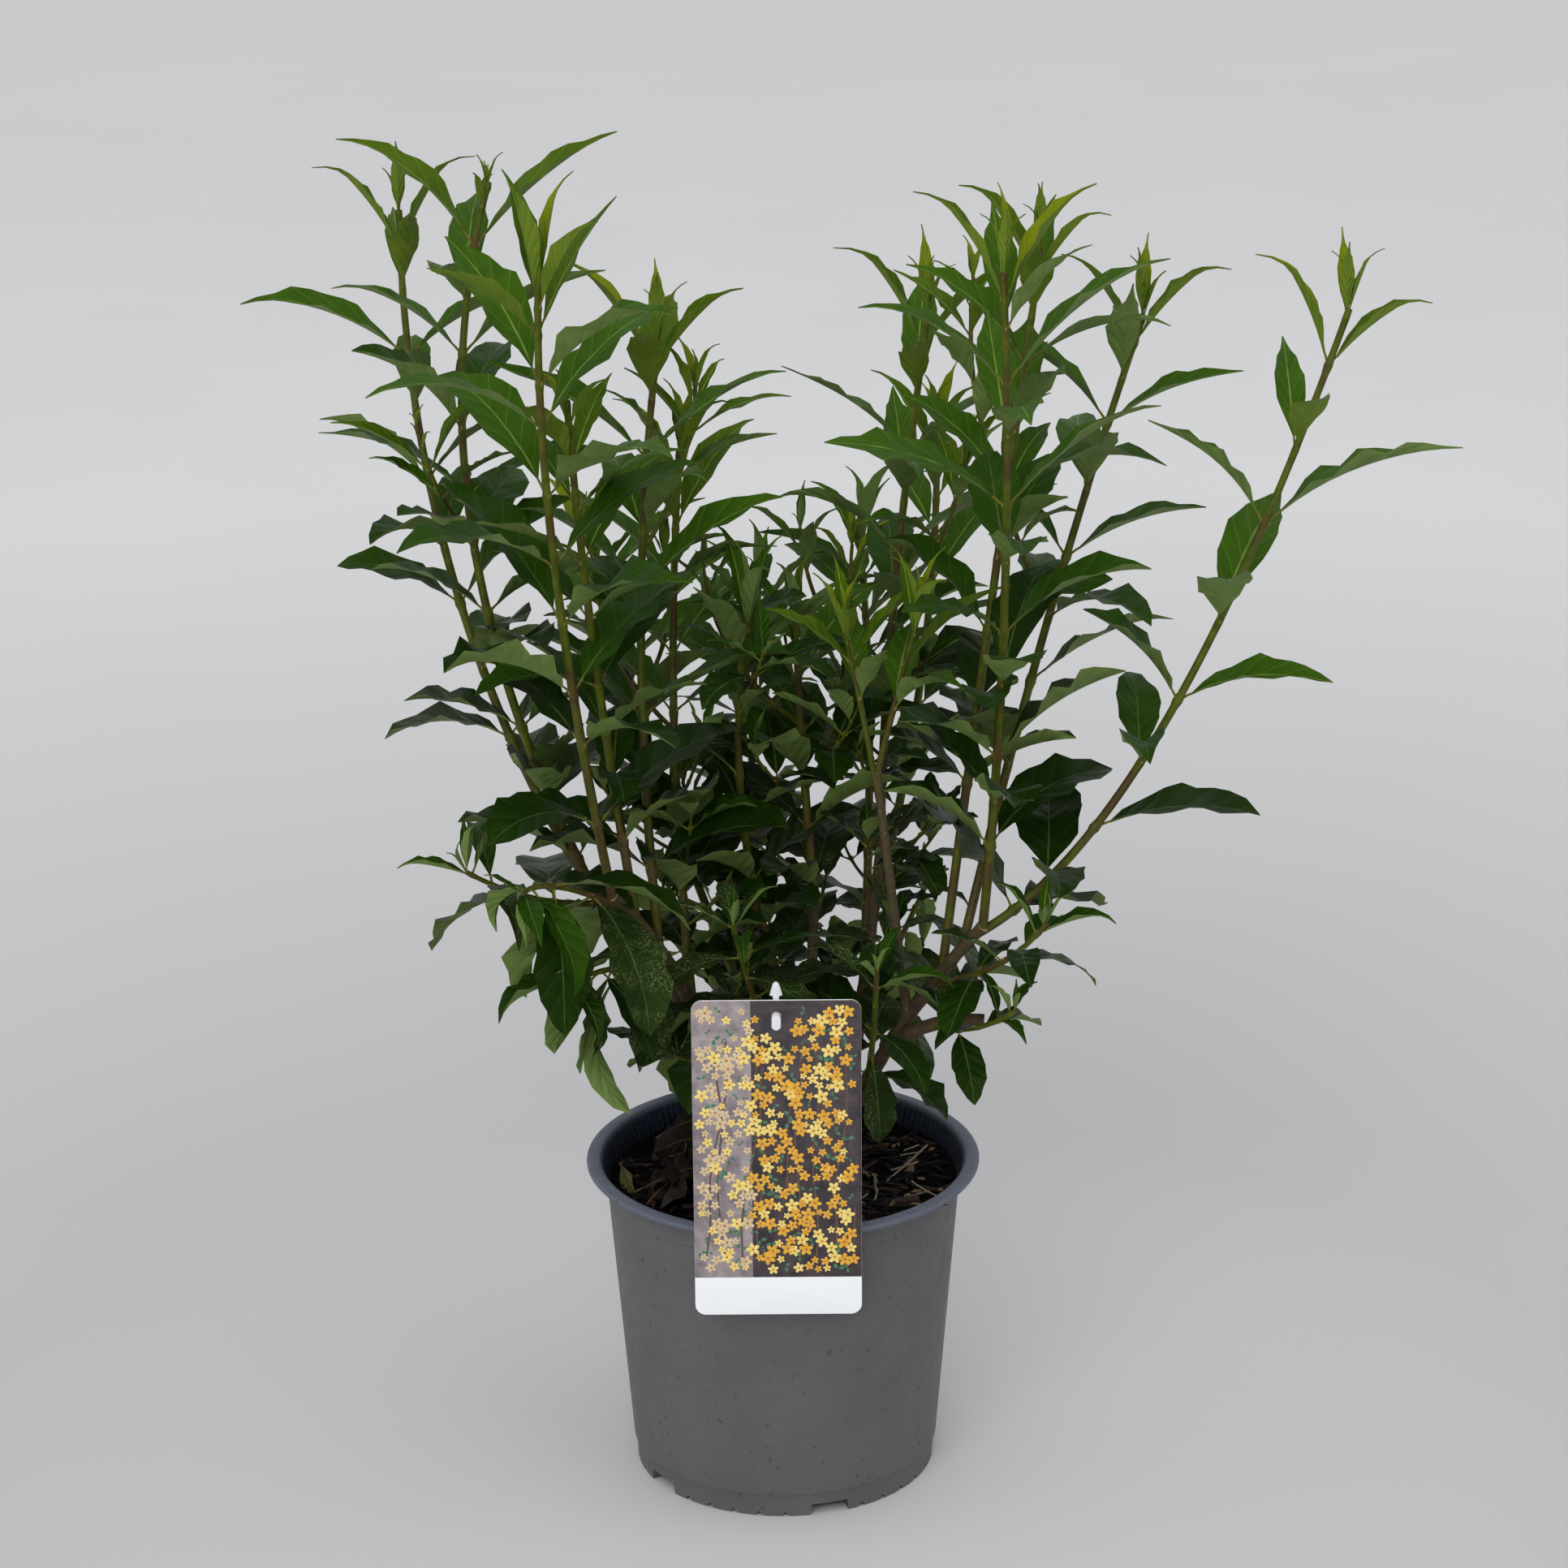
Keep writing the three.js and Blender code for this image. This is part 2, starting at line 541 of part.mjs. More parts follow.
function growShrub() {
  const standing = [];
  for (const { curve } of stems.values()) standing.push(...along(curve, STEM_SAMPLES));
  const grown = CANES.map((plan, i) => {
    const random = seeded(i + 1);
    const { curve } = stems.get(plan.name);
    const shoots = [];
    for (let k = 0; k < (plan.shoots ?? 0); k += 1) {
      const shoot = shootFrom(curve, plan, k, random);
      const points = along(shoot, SHOOT_SAMPLES);
      if (roomFor(points.slice(1), standing) >= CROWDED) shoots.push({ curve: shoot, points });
    }
    for (const shoot of shoots) standing.push(...shoot.points);
    return { plan, curve, shoots, random };
  });
  for (const cane of grown) {
    const { plan, random } = cane;
    cane.leaves = growPairs(cane.curve, plan, 1, standing, random);
    const shootPlan = { ...plan, bare: SHOOT.bare, spin: plan.spin + 45 };
    for (const shoot of cane.shoots) {
      shoot.leaves = growPairs(shoot.curve, shootPlan, SHOOT.leaf, standing, random);
    }
  }
  return grown;
}

// --- Plant solids ---------------------------------------------------------------------------------

const BOUGH_SIDES = 6;
const BOUGH_STEPS = 5;
const CANE_SIDES = 3;
const CANE_STEP = 32; // length of one straight stretch of a cane
const SHOOT_STEPS = 4;
const FLARE = 1.6; // how much wider a bough is where it leaves the mix

// A limb: a cylinder whose rings are carried along a curve. It is made wider and longer by grow.
function limb(curve, radiusAt, sides, steps, grow = 0) {
  const shape = new THREE.CylinderGeometry(1, 1, 1, sides, steps);
  const places = shape.attributes.position;
  const isLeaning = Math.abs(curve.getTangent(0).z) < 0.9;
  const reference = isLeaning ? new THREE.Vector3(0, 0, 1) : new THREE.Vector3(0, 1, 0);
  const corner = new THREE.Vector3();
  for (let i = 0; i < places.count; i += 1) {
    corner.fromBufferAttribute(places, i);
    const t = corner.y + 0.5;
    const forward = curve.getTangent(t);
    const across = new THREE.Vector3().crossVectors(reference, forward).normalize();
    const beside = new THREE.Vector3().crossVectors(across, forward);
    const radius = radiusAt(t) + grow;
    const spot = curve.getPoint(t).addScaledVector(forward, 2 * grow * (t - 0.5));
    spot.addScaledVector(across, corner.x * radius).addScaledVector(beside, corner.z * radius);
    places.setXYZ(i, spot.x, spot.y, spot.z);
  }
  return solidOf(shape);
}

const taper = ([foot, tip], flare = 0) => (t) => foot + (tip - foot) * t + flare * (1 - t) ** 9;

// A blade: a turned shape with three sides, two edges and a keel, carried along the leaf's midrib.
// It is pointed at both ends, and its root is sunk past the middle of the stem. Each ring is given as
// its place along the leaf and its half width as a share of the leaf's width.
const LONG_BLADE = 60;
const LONG_RINGS = [[0.34, 0.5], [0.7, 0.34]];
const SHORT_RINGS = [[0.46, 0.5]];
const ROOT_PLACE = -0.007;
const FOLD = 0.22; // how far the edges rise, for each unit of half width
const KEEL = 0.018; // depth under the midrib, as a share of the length
const LEAST_KEEL = 1;
const WIDE_CORNER = Math.sqrt(3) / 2; // how far a triangle's side corners stand from its middle line

function blade(leaf, grow = 0) {
  const depth = Math.max(LEAST_KEEL, KEEL * leaf.length) + grow;
  const rings = leaf.length > LONG_BLADE ? LONG_RINGS : SHORT_RINGS;
  const sections = [[ROOT_PLACE, 0], ...rings, [1, 0]];
  const outline = sections.map(([, share], i) => new THREE.Vector2(share > 0 ? 1 : 0, i));
  const shape = new THREE.LatheGeometry(outline, 3);
  const places = shape.attributes.position;
  for (let i = 0; i < places.count; i += 1) {
    const [t, share] = sections[Math.round(places.getY(i))];
    const spot = ribPoint(leaf, t);
    if (share > 0) {
      const [side, face] = bladeAxes(leaf, t);
      const half = share * leaf.width + grow;
      const isKeel = places.getZ(i) > 0;
      spot.addScaledVector(side, (places.getX(i) / WIDE_CORNER) * half);
      spot.addScaledVector(face, isKeel ? -depth * places.getZ(i) : FOLD * half + grow);
    }
    places.setXYZ(i, spot.x, spot.y, spot.z);
  }
  return solidOf(shape);
}

const isApart = (a, b) =>
  ["x", "y", "z"].some((k, i) => a.min[i] > b.max[i] || b.min[i] > a.max[i]);

function touches(solid, others) {
  const box = solid.boundingBox();
  return others.some((o) => !isApart(box, o.box) && !solid.intersect(o.solid).isEmpty());
}

const parts = new Map();
const placed = []; // every piece that a leaf has to keep clear of

function place(owner, solid, root = null) {
  placed.push({ owner, solid, root, box: solid.boundingBox() });
}

const pot = makePot();
const mix = makeMix();
const label = makeLabel();
const stake = makeStake();
for (const solid of [pot, mix, label, stake]) place("pot", solid);

const SUNK = 6; // a bough is drawn this much past its foot; the mix's surface cuts it flat
const guards = [];

for (const plan of BOUGHS) {
  const { curve, radii } = stems.get(plan.name);
  const radiusAt = taper(radii, plan.foot ? FLARE : 0);
  if (plan.foot) curve.v0.addScaledVector(curve.getTangent(0), -SUNK);
  let solid = limb(curve, radiusAt, BOUGH_SIDES, BOUGH_STEPS);
  if (plan.foot) solid = solid.subtract(belowMix());
  for (const guard of guards) solid = solid.subtract(guard);
  guards.push(limb(curve, radiusAt, BOUGH_SIDES, BOUGH_STEPS, GAP));
  parts.set(plan.name, solid);
  place(plan.name, solid);
}

const shrub = growShrub();
for (const cane of shrub) {
  const steps = Math.max(SHOOT_STEPS, Math.round(cane.curve.getLength() / CANE_STEP));
  const radiusAt = taper(stems.get(cane.plan.name).radii);
  let solid = limb(cane.curve, radiusAt, CANE_SIDES, steps);
  for (const guard of guards) solid = solid.subtract(guard);
  guards.push(limb(cane.curve, radiusAt, CANE_SIDES, steps, GAP));
  parts.set(cane.plan.name, solid);
  place(cane.plan.name, solid, "stem");
}

function fuse(name, solid, root) {
  parts.set(name, parts.get(name).add(solid));
  place(name, solid, root);
}

const LEAST_LEAF = 32; // smaller leaves are too fine for the solids

const SHARED_ROOT = 8; // leaves of one stem whose roots are nearer than this may meet there

// A leaf that would touch the pot, another stem, or a leaf further along its own, is skipped.
function fuseLeaves(name, leaves) {
  for (const leaf of leaves.filter((l) => l.length > LEAST_LEAF)) {
    const others = placed.filter(
      (p) => p.owner !== name || (p.root !== "stem" && p.root.distanceTo(leaf.root) > SHARED_ROOT),
    );
    if (!touches(blade(leaf, GAP), others)) fuse(name, blade(leaf), leaf.root);
  }
}

for (const { plan, leaves, shoots } of shrub) {
  fuseLeaves(plan.name, leaves);
  for (const shoot of shoots) {
    const twig = (grow) => limb(shoot.curve, taper(SHOOT_RADII), CANE_SIDES, SHOOT_STEPS, grow);
    const others = placed.filter((p) => p.owner !== plan.name);
    if (touches(twig(GAP), others)) continue;
    fuse(plan.name, twig(0), "stem");
    fuseLeaves(plan.name, shoot.leaves);
  }
}

// --- The scene ------------------------------------------------------------------------------------

const finish = (color, roughness) =>
  new THREE.MeshStandardMaterial({ color, roughness, metalness: 0, flatShading: true });

const shrubInPot = new THREE.Group();
shrubInPot.add(meshOf("pot", pot, finish(0x5a5a5c, 0.6)));
shrubInPot.add(meshOf("potting_mix", mix, finish(0x2a1d16, 1)));
shrubInPot.add(meshOf("label", label, finish(0xe8e8e4, 0.4)));
shrubInPot.add(meshOf("label_stake", stake, finish(0xf4f4f2, 0.35)));
for (const plan of BOUGHS) {
  shrubInPot.add(meshOf(plan.name, parts.get(plan.name), finish(0x6a5539, 0.85)));
}
for (const plan of CANES) {
  shrubInPot.add(meshOf(plan.name, parts.get(plan.name), finish(plan.low ? 0x234a1c : 0x2f6420, 0.5)));
}

export default shrubInPot;
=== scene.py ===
from math import asin, atan2, cos, degrees, hypot, pi, radians, sin, sqrt, tau

import bpy
import numpy as np
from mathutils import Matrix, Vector, noise
from mathutils.bvhtree import BVHTree


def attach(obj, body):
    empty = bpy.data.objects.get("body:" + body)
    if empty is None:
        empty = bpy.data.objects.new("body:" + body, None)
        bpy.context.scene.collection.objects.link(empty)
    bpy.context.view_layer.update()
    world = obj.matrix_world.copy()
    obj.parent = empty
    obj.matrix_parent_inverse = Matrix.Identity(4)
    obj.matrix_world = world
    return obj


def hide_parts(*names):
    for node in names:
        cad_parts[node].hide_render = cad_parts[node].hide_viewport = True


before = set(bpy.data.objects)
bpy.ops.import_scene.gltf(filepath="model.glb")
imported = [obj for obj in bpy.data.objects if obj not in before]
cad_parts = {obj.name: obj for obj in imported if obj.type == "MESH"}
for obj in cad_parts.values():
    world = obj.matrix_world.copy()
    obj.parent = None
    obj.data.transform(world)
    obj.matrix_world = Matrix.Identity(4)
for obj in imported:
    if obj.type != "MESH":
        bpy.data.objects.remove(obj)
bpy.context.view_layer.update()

# --- Camera ------------------------------------------------------------------------------------
# A long lens a little under two metres in front of the plant, looking down into the pot.

bpy.ops.object.camera_add(location=(0.00195, -1.9009, 0.9835))
camera = bpy.context.object
camera.rotation_mode = "ZYX"
camera.rotation_euler = (radians(71.47), 0, radians(-0.466))
camera.data.lens = 97.87
camera.data.sensor_width = 36
bpy.context.scene.camera = camera

# --- Studio ------------------------------------------------------------------------------------
# A wide sheet of pale grey paper under a bright even sky of white cloth, with two broad soft lamps.

MM = 0.001
PAPER_RADIUS = 9


def paint(red, green, blue):
    """A paint's colour as the eye reads it, from 0 to 255, turned into light."""
    shares = (channel / 255 for channel in (red, green, blue))
    return (*(s / 12.92 if s <= 0.04045 else ((s + 0.055) / 1.055) ** 2.4 for s in shares), 1)


class Finish:
    """A material in the making: its shader, and the patterns that feed it. Patterns lie on the
    piece's own place, in metres, and run from 0 to 1."""

    def __init__(self, name, roughness, shine=0.5):
        self.material = bpy.data.materials.new(name)
        self.material.use_nodes = True
        self.tree = self.material.node_tree
        self.shader = self.tree.nodes["Principled BSDF"]
        self.place = self.node("TexCoord", {}).outputs["Object"]
        self.set("Roughness", roughness)
        self.set("Specular IOR Level", shine)

    def feed(self, node, name, value):
        """Gives a node's input a value, or links it to another node's output."""
        if isinstance(value, bpy.types.NodeSocket):
            self.tree.links.new(value, node.inputs[name])
        else:
            node.inputs[name].default_value = value

    def set(self, name, value):
        self.feed(self.shader, name, value)

    def node(self, kind, inputs, **settings):
        made = self.tree.nodes.new("ShaderNode" + kind)
        for name, value in settings.items():
            setattr(made, name, value)
        for name, value in inputs.items():
            self.feed(made, name, value)
        return made

    def math(self, operation, first, second=0.0):
        return self.node("Math", {0: first, 1: second}, operation=operation).outputs[0]

    def spread(self, value, low, high, least=0.0, most=1.0):
        """Carries a value that runs from low to high over to the range from least to most."""
        limits = {"From Min": low, "From Max": high, "To Min": least, "To Max": most}
        return self.node("MapRange", {"Value": value, **limits}).outputs[0]

    def cloud(self, scale, detail=3.0, roughness=0.55, distortion=0.0):
        """A cloudy pattern, finer as its scale is higher."""
        inputs = {"Vector": self.place, "Scale": scale, "Detail": detail, "Roughness": roughness,
                  "Distortion": distortion}
        return self.node("TexNoise", inputs).outputs[0]

    def patches(self, scale, low, high, least=0.0, most=1.0, **cloud):
        return self.spread(self.cloud(scale, **cloud), low, high, least, most)

    def height(self):
        return self.node("SeparateXYZ", {0: self.place}).outputs["Z"]

    def mix(self, share, first, second):
        inputs = {0: share, 6: first, 7: second}
        return self.node("Mix", inputs, data_type="RGBA", blend_type="MIX").outputs[2]

    def two_tone(self, first, second, scale, detail=4.0, roughness=0.55, half=0.15):
        """Two paints that run into each other in patches."""
        share = self.patches(scale, 0.5 - half, 0.5 + half, detail=detail, roughness=roughness)
        return self.mix(share, paint(*first), paint(*second))

    def color(self, tone):
        self.tone = tone
        self.set("Base Color", tone)

    def lay(self, share, color):
        """Lays one more paint over the colour so far, as strongly as share says."""
        self.color(self.mix(share, self.tone, paint(*color)))

    def relief(self, height, strength, distance):
        inputs = {"Height": height, "Strength": strength, "Distance": distance}
        self.set("Normal", self.node("Bump", inputs).outputs["Normal"])


def coat(mesh, *finishes):
    for finish in finishes:
        mesh.materials.append(finish.material)


bpy.ops.mesh.primitive_circle_add(vertices=128, radius=PAPER_RADIUS, fill_type="NGON")
paper = bpy.context.object
paper.name = "paper_floor"
sheet = Finish("backdrop_paper", 0.9)
from_pot = sheet.node("VectorMath", {0: sheet.place}, operation="LENGTH").outputs["Value"]
# The paper is painted lighter close round the pot, which cancels the pot's own soft shadow there,
# and lighter again far off all round, as painted light in place of a brighter backdrop.
sheet.color(paint(208, 208, 210))
sheet.lay(sheet.spread(from_pot, 0.08, 0.42), (190, 190, 192))
sheet.lay(sheet.spread(from_pot, 0.5, 1.9), (232, 232, 234))
sheet.lay(sheet.patches(3, 0.3, 0.7, 0, 0.05), (180, 180, 182))
coat(paper.data, sheet)

sky = bpy.data.worlds.new("white_cloth")
sky.use_nodes = True
sky.node_tree.nodes["Background"].inputs["Color"].default_value = (0.985, 0.99, 1, 1)
sky.node_tree.nodes["Background"].inputs["Strength"].default_value = 0.72
bpy.context.scene.world = sky
bpy.context.scene.view_settings.view_transform = "Standard"

# Each lamp's place, width and power. Both point at the middle of the plant.
LAMPS = {"key": ((-0.6, -2.2, 1.6), 1.6, 24), "top": ((0.3, -0.2, 2.6), 1.8, 13)}
PLANT_MIDDLE = Vector((0, 0, 0.3))
for name, (spot, width, power) in LAMPS.items():
    bpy.ops.object.light_add(type="AREA", location=spot)
    lamp = bpy.context.object
    lamp.name = name + "_lamp"
    lamp.data.size = width
    lamp.data.energy = power
    lamp.rotation_euler = (PLANT_MIDDLE - Vector(spot)).to_track_quat("-Z", "Y").to_euler()

# --- Pot ---------------------------------------------------------------------------------------
# A thin-walled nursery pot of about three litres, moulded in grey recycled polypropylene. It has a
# flared lip, a ledge under it, and a foot ring notched for drainage.

POT_SIDES = 144
POT_HEIGHT = 158
LIP_RADIUS = 95
WALL = 1.6
WALL_FOOT, WALL_FOOT_RADIUS = 11.7, 74.4
FLARE_OUT = 0.0815
FOOT_RADIUS = 72.9
FOOT_RING = 9
LEDGE = 142.4
NECK = 150
FLOOR = 7
RIBS = 150
DRAINS = 5
DRAIN_TURN = radians(17 - 90)
DRAIN_WIDTH, DRAIN_HEIGHT, DRAIN_TAPER = 21, 6, 0.84
NOTCHES = 36
NOTCH_RADIUS, NOTCH_STRETCH = 1.7, 1.4
CLEAR_OF_DRAIN = 16.3


def wall_radius(height):
    return WALL_FOOT_RADIUS + FLARE_OUT * (height - WALL_FOOT)


def take(piece):
    """Makes a piece the active one and the only one selected."""
    bpy.ops.object.select_all(action="DESELECT")
    piece.select_set(True)
    bpy.context.view_layer.objects.active = piece


def start_edit(piece):
    """Opens a piece's mesh with all of it selected."""
    take(piece)
    bpy.ops.object.mode_set(mode="EDIT")
    bpy.ops.mesh.select_all(action="SELECT")


def end_edit():
    bpy.ops.object.mode_set(mode="OBJECT")


def pick(piece, kind, test):
    """Selects only the vertices, edges or faces whose middle passes the test. Millimetres."""
    bpy.ops.mesh.select_all(action="DESELECT")
    bpy.ops.mesh.select_mode(type={"vertices": "VERT", "edges": "EDGE", "polygons": "FACE"}[kind])
    bpy.ops.object.mode_set(mode="OBJECT")
    mesh = piece.data
    for item in getattr(mesh, kind):
        if kind == "vertices":
            middle = item.co
        elif kind == "edges":
            middle = sum((mesh.vertices[v].co for v in item.vertices), Vector()) / 2
        else:
            middle = item.center
        item.select = test(middle / MM)
    bpy.ops.object.mode_set(mode="EDIT")


def extrude_ring(radius, height, next_radius, next_height):
    """Carries the selected ring on about the pot's axis, to its next radius and height."""
    rise = (0, 0, (next_height - height) * MM)
    bpy.ops.mesh.extrude_region_move(TRANSFORM_OT_translate={"value": rise})
    share = next_radius / radius
    bpy.ops.transform.resize(value=(share, share, 1), center_override=(0, 0, next_height * MM))


def cut_away(piece, tool):
    """Cuts a tool out of the piece and clears the tool away."""
    cut = piece.modifiers.new("cut", "BOOLEAN")
    cut.operation, cut.object, cut.solver = "DIFFERENCE", tool, "EXACT"
    bpy.context.view_layer.objects.active = piece
    bpy.ops.object.modifier_apply(modifier=cut.name)
    bpy.data.objects.remove(tool)


def smooth_over(piece, angle):
    take(piece)
    bpy.ops.object.shade_smooth_by_angle(angle=radians(angle))


def rest_place(piece):
    """Puts a piece's place into its mesh."""
    take(piece)
    bpy.ops.object.transform_apply(location=True, rotation=True, scale=True)


def fix(piece, name, slot, *nodes):
    """Names a finished piece, fixes it to the part and hides the plain solids it stands for."""
    piece.name = name
    piece.data.name = name
    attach(piece, "root")
    if nodes:
        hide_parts(*nodes)


# The pot's section as radius and height, from the inner edge of the foot ring out, up and back in.
neck = wall_radius(NECK)
underside = [(39.2, 0), (40.4, 0.5), (42, 4), (61.6, 4), (63.2, 0.6), (63.9, 0), (72.2, 0),
             (72.9, 0.6), (73.3, 11), (73.6, 11.6), (74.3, 12)]
wall = [(wall_radius(h), h) for h in (12.8, 20, 40, 60, 80, 100, 120, 136)]
ledge = [(wall_radius(LEDGE) - 0.1, LEDGE - 0.6), (wall_radius(LEDGE) + 0.5, LEDGE),
         (wall_radius(LEDGE) + 0.6, LEDGE + 0.8), (neck + 0.2, NECK - 0.6)]
lip = [(neck + 0.8, NECK + 1.2), (neck + 2.3, NECK + 2.8), (neck + 4.4, NECK + 3.8),
       (93.2, 154.7), (94.4, 155.1), (94.9, 155.8), (95, 156.8), (94.6, 157.6), (93.8, 158),
       (90.2, 158), (88.8, 157.7), (87.9, 157), (87.2, 155.8), (86.2, 152.8),
       (neck - WALL, NECK - 3)]
inside = [(wall_radius(h) - WALL, h) for h in (144, 138, 130, 110, 80, 50, 20)]
floor = [(72.4, 8.6), (71.2, FLOOR), (45, FLOOR), (15, FLOOR)]
rings = underside + wall + ledge + lip + inside + floor

bpy.ops.mesh.primitive_circle_add(vertices=POT_SIDES, radius=rings[0][0] * MM)
pot = bpy.context.object
start_edit(pot)
for ring, next_ring in zip(rings, rings[1:]):
    extrude_ring(*ring, *next_ring)
bpy.ops.mesh.edge_face_add()
pick(pot, "edges", lambda p: p.z < 0.01 and hypot(p.x, p.y) < 39.5)
bpy.ops.mesh.edge_face_add()
bpy.ops.mesh.select_all(action="SELECT")
bpy.ops.mesh.normals_make_consistent(inside=False)
end_edit()


def on_foot(turn):
    return (FOOT_RADIUS * MM * cos(turn), FOOT_RADIUS * MM * sin(turn), 0)


# The drain slots and the small round-topped notches of the foot ring are cut with blocks and rods.
tools = []
for i in range(DRAINS):
    turn = DRAIN_TURN + i * tau / DRAINS
    middle = on_foot(turn)
    bpy.ops.mesh.primitive_cube_add(size=1, location=middle, rotation=(0, 0, turn))
    tool = bpy.context.object
    tool.scale = (2 * FOOT_RING * MM, DRAIN_WIDTH * MM, 2 * DRAIN_HEIGHT * MM)
    rest_place(tool)
    start_edit(tool)
    pick(tool, "vertices", lambda p: p.z > 1)
    bpy.ops.transform.resize(value=(DRAIN_TAPER, DRAIN_TAPER, 1),
                             center_override=(*middle[:2], DRAIN_HEIGHT * MM))
    end_edit()
    tools.append(tool)
for i in range(NOTCHES):
    turn = i * tau / NOTCHES
    from_drain = asin(sin((turn - DRAIN_TURN) * DRAINS / 2)) / (DRAINS / 2)
    if abs(from_drain) * FOOT_RADIUS > CLEAR_OF_DRAIN:
        bpy.ops.mesh.primitive_cylinder_add(vertices=12, radius=NOTCH_RADIUS * MM,
                                            depth=2 * FOOT_RING * MM, location=on_foot(turn),
                                            rotation=(0, pi / 2, turn))
        tool = bpy.context.object
        tool.scale = (NOTCH_STRETCH, 1, 1)
        rest_place(tool)
        tools.append(tool)
take(tools[0])
for tool in tools:
    tool.select_set(True)
bpy.ops.object.join()
cut_away(pot, tools[0])
smooth_over(pot, 32)


def ribs_of(finish):
    """Fine upright ribs about the pot's axis, from 0 in the grooves to 1."""
    axes = finish.node("SeparateXYZ", {0: finish.place}).outputs
    turn = finish.math("ARCTAN2", axes["X"], axes["Y"])
    wave = finish.math("SINE", finish.math("MULTIPLY", turn, float(RIBS)))
    return finish.spread(wave, -0.4, 1)


plastic = Finish("pot_plastic", 0.6)
height = plastic.height()
plastic.color(plastic.two_tone((86, 86, 88), (92, 92, 93), 26, 3))
# The lip is painted bluer than the grey plastic below: a painted reflection of the sky on its
# upturned rim.
plastic.lay(plastic.spread(height, 0.1515, 0.1535), (90, 96, 112))
plastic.lay(plastic.patches(330, 0.66, 0.69, 0, 0.75, roughness=0.6, distortion=0.6), (46, 45, 44))
scuffs = plastic.patches(60, 0.66, 0.74, detail=6, roughness=0.7, distortion=1.5)
scuffs = plastic.math("MULTIPLY", scuffs, plastic.spread(height, 0.13, 0.02, 0.15, 0.4))
plastic.lay(scuffs, (122, 121, 119))
plastic.set("Roughness", plastic.patches(140, 0.3, 0.7, 0.5, 0.68, detail=4))
ribbed = plastic.math("MULTIPLY", ribs_of(plastic), plastic.spread(height, 0.1426, 0.1436))
ribbed = plastic.math("MULTIPLY", ribbed, plastic.spread(height, 0.1515, 0.15, 0, 0.6))
plastic.relief(plastic.math("ADD", ribbed, plastic.cloud(1400, 2)), 0.14, 0.0004)

# The inside is painted far darker and bluer than the plastic outside, as painted shade down in the
# pot, mottled with damp and finely ribbed all round.
inner = Finish("pot_inside", 0.6, 0.2)
ribs = ribs_of(inner)
inner.color(inner.two_tone((8, 12, 22), (25, 32, 50), 320, half=0.1))
# The crests of the ribs are painted lighter, as painted highlights.
inner.lay(inner.math("MULTIPLY", ribs, 0.5), (46, 54, 76))
# The top edge inside gets the same painted sky reflection as the lip.
inner.lay(inner.spread(inner.height(), 0.1553, 0.1576), (84, 90, 106))
inner.relief(ribs, 0.3, 0.0006)
coat(pot.data, plastic, inner)
for face in pot.data.polygons:
    x, y, z = face.center / MM
    inward = face.normal.x * x + face.normal.y * y < -0.3 * hypot(x, y)
    on_floor = FLOOR - 0.5 < z < FLOOR + 2 and face.normal.z > 0.5
    if (inward and z > FLOOR) or on_floor:
        face.material_index = 1
fix(pot, "nursery_pot", "pot", "pot")

# --- Potting mix ---------------------------------------------------------------------------------
# Dark moist peat and composted bark that fills the pot to a good centimetre under its lip. Its
# crumbs, chips of bark and pale straws lie loose on the top, the coarse ones mostly at the right.

MIX_TOP = 146.5
MIX_RADIUS = wall_radius(MIX_TOP) - WALL
MIX_FOOT, MIX_FOOT_RADIUS = 8, 71
MIX_RINGS, RING_STEP = 22, 3.7


def stream(seed):
    """A repeatable stream of numbers from 0 to 1, one for each call."""
    state = 1000 + 7919 * seed

    def draw():
        nonlocal state
        state = state * 48271 % 2147483647
        return state / 2147483647

    for _ in range(3):
        draw()
    return draw


class Shape:
    """A mesh in the making: points in millimetres, with their places on a leaf's blade where they
    have one, and faces with the numbers of their finishes."""

    def __init__(self):
        self.points, self.faces, self.tones, self.places = [], [], [], []

    def add(self, points, faces, tones, places=()):
        """Adds faces between some points. tones is one finish for all of them, or one for each."""
        self.faces += [[len(self.points) + corner for corner in face] for face in faces]
        self.tones += [tones] * len(faces) if isinstance(tones, int) else tones
        self.points += list(points)
        self.places += places

    def piece(self, name, *finishes):
        mesh = bpy.data.meshes.new(name)
        mesh.from_pydata((np.asarray(self.points) * MM).tolist(), [], self.faces)
        coat(mesh, *finishes)
        mesh.polygons.foreach_set("material_index", self.tones)
        if self.places:
            corners = np.empty(len(mesh.loops), dtype=np.int32)
            mesh.loops.foreach_get("vertex_index", corners)
            layer = mesh.uv_layers.new(name="blade")
            layer.data.foreach_set("uv", np.asarray(self.places)[corners].ravel())
        mesh.update()
        made = bpy.data.objects.new(name, mesh)
        bpy.context.scene.collection.objects.link(made)
        return made


def sleeve(rings, sides, flipped=False):
    """The faces of a closed tube over rings of points, with those of its two ends last."""
    faces = []
    for ring in range(rings - 1):
        for k in range(sides):
            a, b = ring * sides + k, ring * sides + (k + 1) % sides
            faces.append([a, b, b + sides, a + sides])
    last = (rings - 1) * sides
    faces += [[sides - 1 - k for k in range(sides)], [last + k for k in range(sides)]]
    return [face[:1] + face[:0:-1] for face in faces] if flipped else faces


def mix_height(x, y):
    """The lie of the mix's surface."""
    low = noise.noise(Vector((x / 34, y / 34, 0.3)))
    crumbs = noise.noise(Vector((x / 7, y / 7, 4.1)))
    grains = noise.noise(Vector((x / 2.6, y / 2.6, 8.7)))
    return MIX_TOP - 0.6 + 1.6 * low + 1.5 * crumbs + 0.9 * grains


